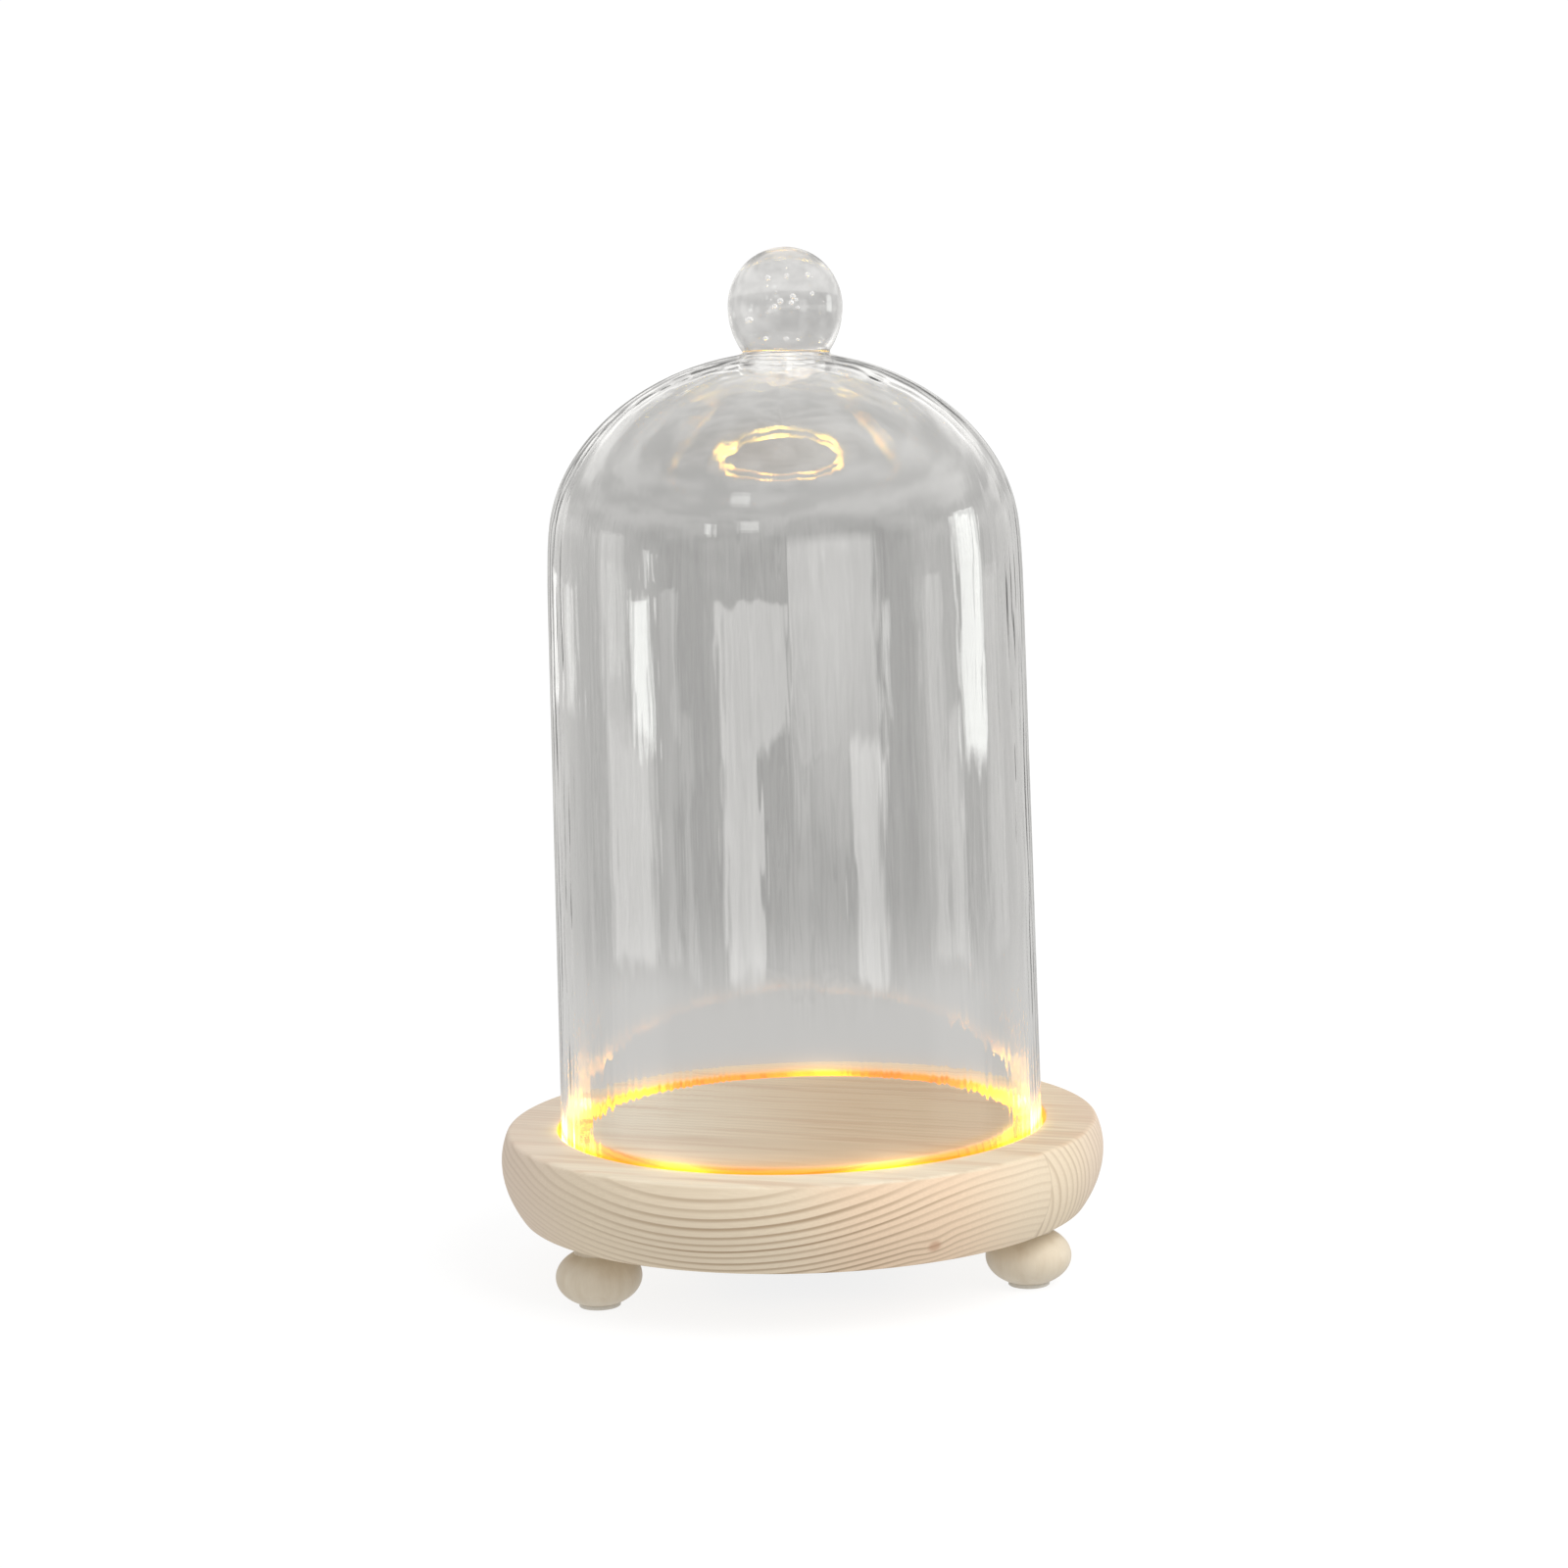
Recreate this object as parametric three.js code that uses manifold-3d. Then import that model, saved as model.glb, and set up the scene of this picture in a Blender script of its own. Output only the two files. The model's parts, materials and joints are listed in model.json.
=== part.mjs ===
// Glass bell jar on a lit wooden base.
// A blown glass dome with a fused glass knob stands in a groove turned into a pine disc. A string of
// amber light beads lies in the same groove, inside the glass. The disc stands on three turned bun
// feet, and a box for three small cells is let into its underside.
// Millimetres, +Z up. The origin is on the floor, on the dome's axis. The front faces -Y.

import * as THREE from 'three';
import { mergeVertices } from 'three/addons/utils/BufferGeometryUtils.js';
import Module from 'manifold-3d';

// ---- Driving dimensions -------------------------------------------------------------------------

const FOOT_HEIGHT = 16;
const FOOT_RING_RADIUS = 60;
const FOOT_ANGLES = { front_left: -146, front_right: -26, back: 94 };
const BUN_RADIUS = 10.4;
const BUN_CENTRE_Z = 7.2;
const BUN_HALF_HEIGHT = 7.1;
const BUN_NECK_RADIUS = 5.8;
const PAD_THICKNESS = 1;
const PAD_RADIUS = 5;

const BASE_RADIUS = 75;
const BASE_THICKNESS = 21;
const BASE_TOP_RADIUS = 73.2;
const BASE_BOTTOM_RADIUS = 70.2;
const BASE_BULGE_DROP = 7.5; // how far the widest ring lies under the top face

const GROOVE_INNER = 53;
const GROOVE_OUTER = 61;
const GROOVE_DEPTH = 6;

const GLASS_FOOT_RADIUS = 60;
const GLASS_SHOULDER_RADIUS = 58.2;
const GLASS_WALL = 2.3;
const GLASS_HEIGHT = 190; // from the base's top face to the crown
const CAP_HEIGHT = 48;
const CROWN_THICKNESS = 5; // where the knob is fused on

const KNOB_RADIUS = 14;
const KNOB_UPPER_HEIGHT = 14.4; // from the knob's widest ring to its top
const KNOB_LOWER_HEIGHT = 16.6; // its lower half is fuller than a ball, and is cut off by the crown
const KNOB_CENTRE_RISE = 10.7; // of the widest ring above the crown
const KNOB_OFFSET = 2; // the knob is set on by hand, a little to the right

const LED_COUNT = 7;
const LED_FIRST_ANGLE = 84; // of the first bead, in degrees; the rest follow clockwise
const LED_RING_RADIUS = 55.3;
const WIRE_ANGLE = 110; // where the light string goes down through the base
const STRING_RADIUS = 0.45;
const LEAD_RADIUS = 0.6;

const CELL_RADIUS = 5.25; // the AAA size
const CELL_LENGTH = 44.5;
const CELL_PITCH = 11;

const FOOT_SCREW = { shank: 1.5, head: 2.8, headHeight: 1.8, headBottom: 2, tip: 27.5 };
const BOX_SCREW = { shank: 1, head: 2, headHeight: 1.2, tip: 23 };

const FIT = 0.05; // the gap between pieces that touch
const CLEARANCE = 0.3; // the gap around pieces that slide or drop in
const OVERRUN = 1; // how far a cutting tool runs past the face it cuts

// ---- Levels and places worked out from them -----------------------------------------------------

const BASE_BOTTOM_Z = FOOT_HEIGHT;
const BASE_TOP_Z = BASE_BOTTOM_Z + BASE_THICKNESS;
const GROOVE_FLOOR_Z = BASE_TOP_Z - GROOVE_DEPTH;
const CROWN_Z = BASE_TOP_Z + GLASS_HEIGHT;
const SHOULDER_Z = CROWN_Z - CAP_HEIGHT;
const STRING_Z = GROOVE_FLOOR_Z + 1.7;
const CHANNEL_Z = BASE_BOTTOM_Z + 3.5; // the wires' height in their channel
const CHANNEL = { halfWidth: 2.5, roof: CHANNEL_Z + 2.5, holeRadius: 2.2 };

const footPlaces = Object.entries(FOOT_ANGLES).map(([name, degrees]) => {
  const angle = THREE.MathUtils.degToRad(degrees);
  return { name, x: FOOT_RING_RADIUS * Math.cos(angle), y: FOOT_RING_RADIUS * Math.sin(angle) };
});

// The battery box. Its own long side runs front to back, and its mouth faces the floor.
const BOX = {
  halfWidth: 18.5,
  front: -31,
  back: 31,
  top: 30,
  flangeHalfWidth: 24,
  flangeReach: 6, // past the front and back walls
  flangeBottom: 12.8,
  flangeCorner: 4,
};
const BAY = { halfWidth: 17, front: -29.8, back: 21.2, ceiling: 28.8 };
const SWITCH_BAY = { front: 22.7, back: 29.5, floor: 14.4 };
const DOOR = { halfWidth: 17.2, bottom: 13.7, thickness: 1.3, back: 20.6, play: 0.1, rail: 0.9 };
const LEAD_GATE = { left: -13.4, right: -9.4, halfHeight: 1.2 };
const CELL_Z = 21.8;
const CONTACT = { halfWidth: 4.2, thickness: 0.4 };
const SPRING = { length: 4.7, wide: 3.5, narrow: 2.2, wireRadius: 0.35, turns: 3 };
const BUMP = { radius: 2.2, rise: 0.7 };
const BOX_SCREWS = [
  { name: 'box_screw_1', x: 21.2, y: 25 },
  { name: 'box_screw_2', x: -21.2, y: -25 },
];

// The slide switch, in the bay behind the cells.
const SWITCH = { y: 26.1, length: 8.6, width: 4.2, height: 3.6, travel: 2, lever: 1.6 };
const SLIDER = { halfLength: 1.5, halfWidth: 1, height: 1.7, standOut: 1.2, play: 0.1 };
const PIN = { spacing: 2.5, halfWidth: 0.3, halfThickness: 0.15, height: 2, rooted: 0.5 };

// The wiring: a resistor over the switch, two jumpers inside the box and a sleeve outside it.
const RESISTOR = { x: 6, z: 25, halfLength: 5, halfBody: 1.9, bodyRadius: 1, leadRadius: 0.28 };
const JUMPER = { x: 15.9, z: 27.6, radius: 0.5 };
const LEAD_SPACING = 0.68; // from the channel's middle to each of the two leads
const SLEEVE = { start: 36, length: 9, inner: 1.45, outer: 1.8 };

// ---- Geometry helpers ---------------------------------------------------------------------------

const wasm = await Module();
wasm.setup();

// A three.js geometry as a manifold solid, with its shared vertices merged.
function solid(geometry) {
  const bare = geometry.clone();
  bare.deleteAttribute('normal');
  bare.deleteAttribute('uv');
  const merged = mergeVertices(bare, 1e-4);
  return new wasm.Manifold(
    new wasm.Mesh({
      numProp: 3,
      vertProperties: new Float32Array(merged.attributes.position.array),
      triVerts: new Uint32Array(merged.index.array),
    }),
  );
}

// A manifold solid as a three.js geometry.
function geometryOf(manifold) {
  const mesh = manifold.getMesh();
  const geometry = new THREE.BufferGeometry();
  geometry.setAttribute('position', new THREE.BufferAttribute(new Float32Array(mesh.vertProperties), 3));
  geometry.setIndex(new THREE.BufferAttribute(new Uint32Array(mesh.triVerts), 1));
  geometry.computeVertexNormals();
  return geometry;
}

const cut = (body, ...tools) => geometryOf(tools.reduce((s, t) => s.subtract(solid(t)), solid(body)));
const join = (first, ...others) => geometryOf(others.reduce((s, o) => s.add(solid(o)), solid(first)));

// Turns a profile of [radius, z] points about Z. The profile runs anticlockwise in the r-z plane:
// up along the outside and down along the inside or the axis.
function turned(profile, segments) {
  const points = profile.map(([r, z]) => new THREE.Vector2(r, z));
  return new THREE.LatheGeometry(points, segments).rotateX(Math.PI / 2);
}

// Points on an ellipse's arc, as [r, z], from one angle in degrees to another.
function arc([r, z], [radiusR, radiusZ], from, to, steps) {
  return Array.from({ length: steps + 1 }, (_, i) => {
    const angle = THREE.MathUtils.degToRad(from + ((to - from) * i) / steps);
    return [r + radiusR * Math.cos(angle), z + radiusZ * Math.sin(angle)];
  });
}

function closed(profile) {
  return [...profile, profile[0]];
}

// A box between two corners.
function block([x0, y0, z0], [x1, y1, z1]) {
  const box = new THREE.BoxGeometry(x1 - x0, y1 - y0, z1 - z0);
  return box.translate((x0 + x1) / 2, (y0 + y1) / 2, (z0 + z1) / 2);
}

// A plain round bar along Z.
function rod(x, y, radius, bottom, top, segments = 20) {
  const profile = [[0, bottom], [radius, bottom], [radius, top], [0, top]];
  return turned(profile, segments).translate(x, y, 0);
}

// A plate with rounded corners, lying flat.
function plate(x0, y0, x1, y1, corner, bottom, top) {
  const outline = new THREE.Shape();
  outline.absarc(x1 - corner, y1 - corner, corner, 0, Math.PI / 2);
  outline.absarc(x0 + corner, y1 - corner, corner, Math.PI / 2, Math.PI);
  outline.absarc(x0 + corner, y0 + corner, corner, Math.PI, 1.5 * Math.PI);
  outline.absarc(x1 - corner, y0 + corner, corner, 1.5 * Math.PI, 2 * Math.PI);
  const options = { depth: top - bottom, bevelEnabled: false, curveSegments: 6 };
  return new THREE.ExtrudeGeometry(outline, options).translate(0, 0, bottom);
}

// A round wire along a smooth curve through the given points.
function wire(points, radius, steps) {
  const path = new THREE.CatmullRomCurve3(points.map((p) => new THREE.Vector3(...p)), false, 'centripetal');
  const section = new THREE.Shape();
  section.absarc(0, 0, radius, 0, 2 * Math.PI);
  const options = { steps, extrudePath: path, bevelEnabled: false, curveSegments: 3 };
  return new THREE.ExtrudeGeometry(section, options);
}

// A point at a radius and an angle in degrees from the dome's axis.
function polar(radius, degrees, z) {
  const angle = THREE.MathUtils.degToRad(degrees);
  return [radius * Math.cos(angle), radius * Math.sin(angle), z];
}

// ---- Materials ----------------------------------------------------------------------------------

const finish = (color, roughness, metalness = 0, extra = {}) =>
  new THREE.MeshStandardMaterial({ color, roughness, metalness, ...extra });

const materials = {
  pine: finish(0xe0d0b4, 0.65),
  birch: finish(0xd6c6aa, 0.5),
  glass: finish(0xdfe3e1, 0.03, 0, { transparent: true, opacity: 0.3 }),
  felt: finish(0x6e6a64, 0.95),
  steel: finish(0xb9bcc0, 0.3, 1),
  copper: finish(0xc87f4a, 0.35, 1),
  resin: finish(0xffc44d, 0.15, 0, { emissive: 0xff9a1f, emissiveIntensity: 1.5 }),
  chip: finish(0xffe08a, 0.4, 0, { emissive: 0xffb030, emissiveIntensity: 3 }),
  blackPlastic: finish(0x1d1d1f, 0.55),
  redSleeve: finish(0xb3201c, 0.5),
  blackSleeve: finish(0x161616, 0.5),
  cellWrap: finish(0x3a6b4c, 0.35),
  resistor: finish(0xc9ad7c, 0.5),
};

const jar = new THREE.Group();

function add(name, geometry, material, parent = jar) {
  const mesh = new THREE.Mesh(geometry, material);
  mesh.name = name;
  parent.add(mesh);
  return mesh;
}

// ---- Wooden base --------------------------------------------------------------------------------

// The side bulges: it curves out from the underside to the widest ring, then in to the top edge.
function baseSide() {
  const lowSteps = 6;
  const highSteps = 4;
  const low = BASE_THICKNESS - BASE_BULGE_DROP;
  const points = [];
  for (let i = 0; i <= lowSteps; i += 1) {
    const share = 1 - i / lowSteps;
    const tuck = (BASE_RADIUS - BASE_BOTTOM_RADIUS) * share ** 2;
    points.push([BASE_RADIUS - tuck, BASE_BOTTOM_Z + low * (1 - share)]);
  }
  for (let i = 1; i <= highSteps; i += 1) {
    const share = i / highSteps;
    const tuck = (BASE_RADIUS - BASE_TOP_RADIUS) * share ** 2;
    points.push([BASE_RADIUS - tuck, BASE_BOTTOM_Z + low + BASE_BULGE_DROP * share]);
  }
  return points;
}

function woodenBase() {
  const edge = 0.6; // softening of the groove's mouth
  const profile = [
    [0, BASE_BOTTOM_Z],
    ...baseSide(),
    [GROOVE_OUTER + edge, BASE_TOP_Z],
    [GROOVE_OUTER, BASE_TOP_Z - edge],
    [GROOVE_OUTER, GROOVE_FLOOR_Z],
    [GROOVE_INNER, GROOVE_FLOOR_Z],
    [GROOVE_INNER, BASE_TOP_Z - edge],
    [GROOVE_INNER - edge, BASE_TOP_Z],
    [0, BASE_TOP_Z],
  ];
  const under = BASE_BOTTOM_Z - OVERRUN;
  const pocket = block(
    [-BOX.halfWidth - CLEARANCE, BOX.front - CLEARANCE, under],
    [BOX.halfWidth + CLEARANCE, BOX.back + CLEARANCE, BOX.top + CLEARANCE],
  );
  const { halfWidth, roof, holeRadius } = CHANNEL;
  const channel = block([0, -halfWidth, under], [LED_RING_RADIUS + holeRadius, halfWidth, roof]);
  channel.rotateZ(THREE.MathUtils.degToRad(WIRE_ANGLE));
  const [holeX, holeY] = polar(LED_RING_RADIUS, WIRE_ANGLE, 0);
  const wireHole = rod(holeX, holeY, holeRadius, under, GROOVE_FLOOR_Z + OVERRUN);
  const pilot = ({ shank, tip }) => ({ x, y }) => rod(x, y, shank + FIT, under, tip + CLEARANCE, 12);
  const pilots = [...footPlaces.map(pilot(FOOT_SCREW)), ...BOX_SCREWS.map(pilot(BOX_SCREW))];
  return cut(turned(profile, 64), pocket, channel, wireHole, ...pilots);
}

// ---- Glass --------------------------------------------------------------------------------------

const GLASS_SEGMENTS = 48;
const CAP_STEPS = 10;

// The outside of the cap, from the shoulder to the crown.
const capOutside = () => arc([0, SHOULDER_Z], [GLASS_SHOULDER_RADIUS, CAP_HEIGHT], 0, 90, CAP_STEPS);

function glassDome() {
  const lip = GLASS_WALL / 2; // the foot's rim is fire-polished to a half round
  const lipZ = GROOVE_FLOOR_Z + FIT + lip;
  const innerShoulder = GLASS_SHOULDER_RADIUS - GLASS_WALL;
  const innerCapHeight = CAP_HEIGHT - CROWN_THICKNESS;
  const inside = arc([0, SHOULDER_Z], [innerShoulder, innerCapHeight], 90, 0, CAP_STEPS);
  const rim = arc([GLASS_FOOT_RADIUS - lip, lipZ], [lip, lip], 180, 360, 4);
  return turned([...inside, ...rim, ...capOutside()], GLASS_SEGMENTS);
}

// A solid glass ball, fuller below than above, whose underside is shaped by the crown it is fused to.
function knob() {
  const centreZ = CROWN_Z + KNOB_CENTRE_RISE;
  const lower = arc([0, centreZ], [KNOB_RADIUS, KNOB_LOWER_HEIGHT], -80, 0, 7);
  const upper = arc([0, centreZ], [KNOB_RADIUS, KNOB_UPPER_HEIGHT], 0, 90, 8);
  const ball = turned([[0, lower[0][1]], ...lower, ...upper.slice(1)], 28);
  const crown = turned([[0, SHOULDER_Z], ...capOutside()], GLASS_SEGMENTS);
  return cut(ball.translate(KNOB_OFFSET, 0, 0), crown.translate(0, 0, CLEARANCE / 2));
}

// ---- Feet ---------------------------------------------------------------------------------------

// A bun with a flat underside, a short neck and a cove that flares to meet the base.
function bunFoot() {
  const bottom = PAD_THICKNESS + FIT;
  const top = BASE_BOTTOM_Z - FIT;
  const flatAngle = THREE.MathUtils.radToDeg(Math.asin((bottom - BUN_CENTRE_Z) / BUN_HALF_HEIGHT));
  const neckAngle = THREE.MathUtils.radToDeg(Math.acos(BUN_NECK_RADIUS / BUN_RADIUS));
  const bun = arc([0, BUN_CENTRE_Z], [BUN_RADIUS, BUN_HALF_HEIGHT], flatAngle, neckAngle, 8);
  const coveHeight = top - bun[bun.length - 1][1];
  const cove = arc([BUN_NECK_RADIUS + coveHeight, top - coveHeight], [coveHeight, coveHeight], 180, 90, 3);
  const bore = FOOT_SCREW.shank + FIT;
  const sink = FOOT_SCREW.head + CLEARANCE;
  const step = FOOT_SCREW.headBottom + FOOT_SCREW.headHeight + FIT;
  const inside = [[bore, top], [bore, step], [sink, step], [sink, bottom]];
  return turned(closed([...bun, ...cove.slice(1), ...inside]), 20);
}

// A screw pointing up: a flat head, then a plain shank with a pointed tip.
function screw({ shank, head, headHeight, tip }, headBottom) {
  const shoulder = headBottom + headHeight;
  const profile = [[0, headBottom], [head, headBottom], [head, shoulder], [shank, shoulder]];
  return turned([...profile, [shank, tip - 2 * shank], [0, tip]], 12);
}

// ---- Light string -------------------------------------------------------------------------------

// The string comes along the channel under the base, up through the wire hole and round the groove.
function lightString() {
  const startRadius = 43;
  const sweep = 346; // how far round the groove the string reaches, in degrees
  const ringStart = WIRE_ANGLE - 6;
  const ringPoints = 48;
  const channelEnd = polar(50, WIRE_ANGLE, CHANNEL_Z);
  const holeFoot = polar(LED_RING_RADIUS - 0.8, WIRE_ANGLE, CHANNEL_Z + 2);
  const holeMiddle = polar(LED_RING_RADIUS, WIRE_ANGLE - 0.2, GROOVE_FLOOR_Z - 3);
  const holeTop = polar(LED_RING_RADIUS, WIRE_ANGLE - 1.8, STRING_Z - 0.8);
  const points = [polar(startRadius, WIRE_ANGLE, CHANNEL_Z), channelEnd, holeFoot, holeMiddle, holeTop];
  for (let i = 0; i <= ringPoints; i += 1) {
    points.push(polar(LED_RING_RADIUS, ringStart - (sweep * i) / ringPoints, STRING_Z));
  }
  return wire(points, STRING_RADIUS, 110);
}

const CHIP = { length: 1.6, width: 0.8, height: 0.5, bottom: STRING_RADIUS + 0.1, play: 0.08 };
const BEAD = { radius: 1.6, halfLength: 2.6, bore: STRING_RADIUS + 0.17 };

function chip(margin) {
  const { length, width, height, bottom } = CHIP;
  return block(
    [-width / 2 - margin, -length / 2 - margin, bottom - margin],
    [width / 2 + margin, length / 2 + margin, bottom + height + margin],
  );
}

// A drop of clear resin around the string, long along Y, with a hollow for its light chip.
function bead() {
  const endAngle = THREE.MathUtils.radToDeg(Math.acos(BEAD.bore / BEAD.radius));
  const outline = arc([0, 0], [BEAD.radius, BEAD.halfLength], -endAngle, endAngle, 6);
  const drop = turned(closed(outline), 10).rotateX(-Math.PI / 2);
  return cut(drop, chip(CHIP.play));
}

function addLights(parent) {
  const beadGeometry = bead();
  const chipGeometry = chip(0);
  for (let i = 0; i < LED_COUNT; i += 1) {
    const angle = LED_FIRST_ANGLE - (360 / LED_COUNT) * i;
    const place = new THREE.Group();
    place.position.set(...polar(LED_RING_RADIUS, angle, STRING_Z));
    place.rotation.z = THREE.MathUtils.degToRad(angle);
    add(`led_bead_${i + 1}`, beadGeometry, materials.resin, place);
    add(`led_chip_${i + 1}`, chipGeometry, materials.chip, place);
    parent.add(place);
  }
}

// ---- Battery box --------------------------------------------------------------------------------

// The openings cut in the battery box: the cells' bay, the door's slot, the switch's bay and the
// gaps that wires pass through.
function boxOpenings() {
  const slotTop = DOOR.bottom + DOOR.thickness + DOOR.play;
  const openFront = BOX.front - BOX.flangeReach - OVERRUN;
  const under = BOX.flangeBottom - OVERRUN;
  const doorBack = DOOR.back + CLEARANCE;
  const bay = block([-BAY.halfWidth, BAY.front, slotTop - OVERRUN], [BAY.halfWidth, BAY.back, BAY.ceiling]);
  const slotHalf = DOOR.halfWidth + CLEARANCE;
  const slot = block([-slotHalf, openFront, DOOR.bottom - DOOR.play], [slotHalf, doorBack, slotTop]);
  const mouthHalf = DOOR.halfWidth - DOOR.rail;
  const mouth = block([-mouthHalf, openFront, under], [mouthHalf, doorBack, DOOR.bottom]);
  const switchBay = block(
    [-BAY.halfWidth, SWITCH_BAY.front, SWITCH_BAY.floor],
    [BAY.halfWidth, SWITCH_BAY.back, BOX.top + OVERRUN],
  );
  const leverHalf = SWITCH.lever / 2 + CLEARANCE;
  const leverReach = leverHalf + SWITCH.travel / 2;
  const leverSlot = block(
    [-leverReach, SWITCH.y - leverHalf, under],
    [leverReach, SWITCH.y + leverHalf, SWITCH_BAY.floor + OVERRUN],
  );
  const leadGate = block(
    [LEAD_GATE.left, SWITCH_BAY.back - OVERRUN, CHANNEL_Z - LEAD_GATE.halfHeight],
    [LEAD_GATE.right, BOX.back + OVERRUN, CHANNEL_Z + LEAD_GATE.halfHeight],
  );
  const jumperGates = [JUMPER.x, -CELL_PITCH].map((x) =>
    block([x - 1, BAY.back - OVERRUN, JUMPER.z - 1], [x + 1, SWITCH_BAY.front + OVERRUN, BAY.ceiling]),
  );
  const { shank, head, headHeight } = BOX_SCREW;
  const screwHoles = BOX_SCREWS.flatMap(({ x, y }) => [
    rod(x, y, shank + CLEARANCE, under, BASE_BOTTOM_Z + OVERRUN, 12),
    rod(x, y, head + CLEARANCE, under, BOX.flangeBottom + headHeight, 16),
  ]);
  return [bay, slot, mouth, switchBay, leverSlot, leadGate, ...jumperGates, ...screwHoles];
}

// A tub with a broad flange and, on its ceiling, two ribs that keep the cells apart.
function batteryBox() {
  const flange = plate(
    -BOX.flangeHalfWidth,
    BOX.front - BOX.flangeReach,
    BOX.flangeHalfWidth,
    BOX.back + BOX.flangeReach,
    BOX.flangeCorner,
    BOX.flangeBottom,
    BASE_BOTTOM_Z - FIT,
  );
  const tub = block([-BOX.halfWidth, BOX.front, BOX.flangeBottom + 1], [BOX.halfWidth, BOX.back, BOX.top]);
  const rib = { halfWidth: 1, height: 2.5, bite: 0.5 };
  const ribs = [-CELL_PITCH / 2, CELL_PITCH / 2].map((x) =>
    block(
      [x - rib.halfWidth, BAY.front - rib.bite, BAY.ceiling - rib.height],
      [x + rib.halfWidth, BAY.back + rib.bite, BAY.ceiling + rib.bite],
    ),
  );
  return join(cut(join(flange, tub), ...boxOpenings()), ...ribs);
}

// A flat lid with finger ribs near its front edge.
function batteryDoor() {
  const front = BOX.front - BOX.flangeReach;
  const { halfWidth, bottom, thickness, back } = DOOR;
  const leaf = block([-halfWidth, front, bottom], [halfWidth, back, bottom + thickness]);
  const rib = { count: 4, halfLength: 7, width: 1, pitch: 2.2, height: 0.6, first: 4 };
  const ribs = Array.from({ length: rib.count }, (_, i) => {
    const y = front + rib.first + i * rib.pitch;
    return block([-rib.halfLength, y, bottom - rib.height], [rib.halfLength, y + rib.width, bottom + FIT]);
  });
  return join(leaf, ...ribs);
}

// A cell along +Y: the can, its shoulder and the button.
function cell() {
  const button = { radius: 1.9, height: 1.2 };
  const edge = 0.4;
  const can = CELL_LENGTH - button.height;
  const profile = [
    [0, 0],
    [CELL_RADIUS - edge, 0],
    [CELL_RADIUS, edge],
    [CELL_RADIUS, can - edge],
    [CELL_RADIUS - edge, can],
    [button.radius, can],
    [button.radius, CELL_LENGTH],
    [0, CELL_LENGTH],
  ];
  return turned(profile, 20).rotateX(-Math.PI / 2);
}

// A contact plate on a bay wall. At y = 0 it stands on the wall and its pieces reach along +Y.
// Each place along X has either a spring for a cell's flat end or a bump for its button.
function contact(places) {
  const { halfWidth, thickness } = CONTACT;
  const xs = places.map(({ x }) => x);
  const leaf = block(
    [Math.min(...xs) - halfWidth, 0, CELL_Z - halfWidth],
    [Math.max(...xs) + halfWidth, thickness, CELL_Z + halfWidth],
  );
  const faces = places.map(({ x, spring }) => (spring ? coil(x) : bump(x)));
  return join(leaf, ...faces);
}

// The raised round that a cell's button presses on.
function bump(x) {
  const { radius, rise } = BUMP;
  const foot = CONTACT.thickness;
  const profile = [[0, 0], [radius, 0], [radius, foot], [radius / 2, foot + rise], [0, foot + rise]];
  return turned(profile, 14).rotateX(-Math.PI / 2).translate(x, 0, CELL_Z);
}

// A conical spring that a cell's flat end presses on.
function coil(x) {
  const { length, wide, narrow, wireRadius, turns } = SPRING;
  const count = turns * 8;
  const points = Array.from({ length: count + 1 }, (_, i) => {
    const share = i / count;
    const angle = 2 * Math.PI * turns * share;
    const radius = wide + (narrow - wide) * share;
    const y = CONTACT.thickness + share * (length - wireRadius);
    return [x + radius * Math.cos(angle), y, CELL_Z + radius * Math.sin(angle)];
  });
  return wire(points, wireRadius, 36);
}

function addCells(parent) {
  const backPlateY = BAY.back - FIT;
  const frontPlateY = BAY.front + FIT;
  const springEnd = CONTACT.thickness + SPRING.length + FIT;
  [-1, 0, 1].forEach((side, i) => {
    const buttonToBack = side === 0;
    const mesh = add(`battery_${i + 1}`, cell(), materials.cellWrap, parent);
    mesh.rotation.z = buttonToBack ? 0 : Math.PI;
    const flatEnd = buttonToBack ? frontPlateY + springEnd : backPlateY - springEnd;
    mesh.position.set(side * CELL_PITCH, flatEnd, CELL_Z);
  });
  const front = (name, places) => {
    add(name, contact(places), materials.steel, parent).position.y = frontPlateY;
  };
  const back = (name, places) => {
    const mesh = add(name, contact(places.map((p) => ({ ...p, x: -p.x }))), materials.steel, parent);
    mesh.rotation.z = Math.PI;
    mesh.position.y = backPlateY;
  };
  front('contact_bridge_front', [{ x: -CELL_PITCH }, { x: 0, spring: true }]);
  front('contact_positive', [{ x: CELL_PITCH }]);
  back('contact_bridge_back', [{ x: 0 }, { x: CELL_PITCH, spring: true }]);
  back('contact_negative', [{ x: -CELL_PITCH, spring: true }]);
}

// ---- Switch, resistor and wires -----------------------------------------------------------------

const SWITCH_BOTTOM = SWITCH_BAY.floor + FIT;
const SWITCH_TOP = SWITCH_BOTTOM + SWITCH.height;

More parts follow.
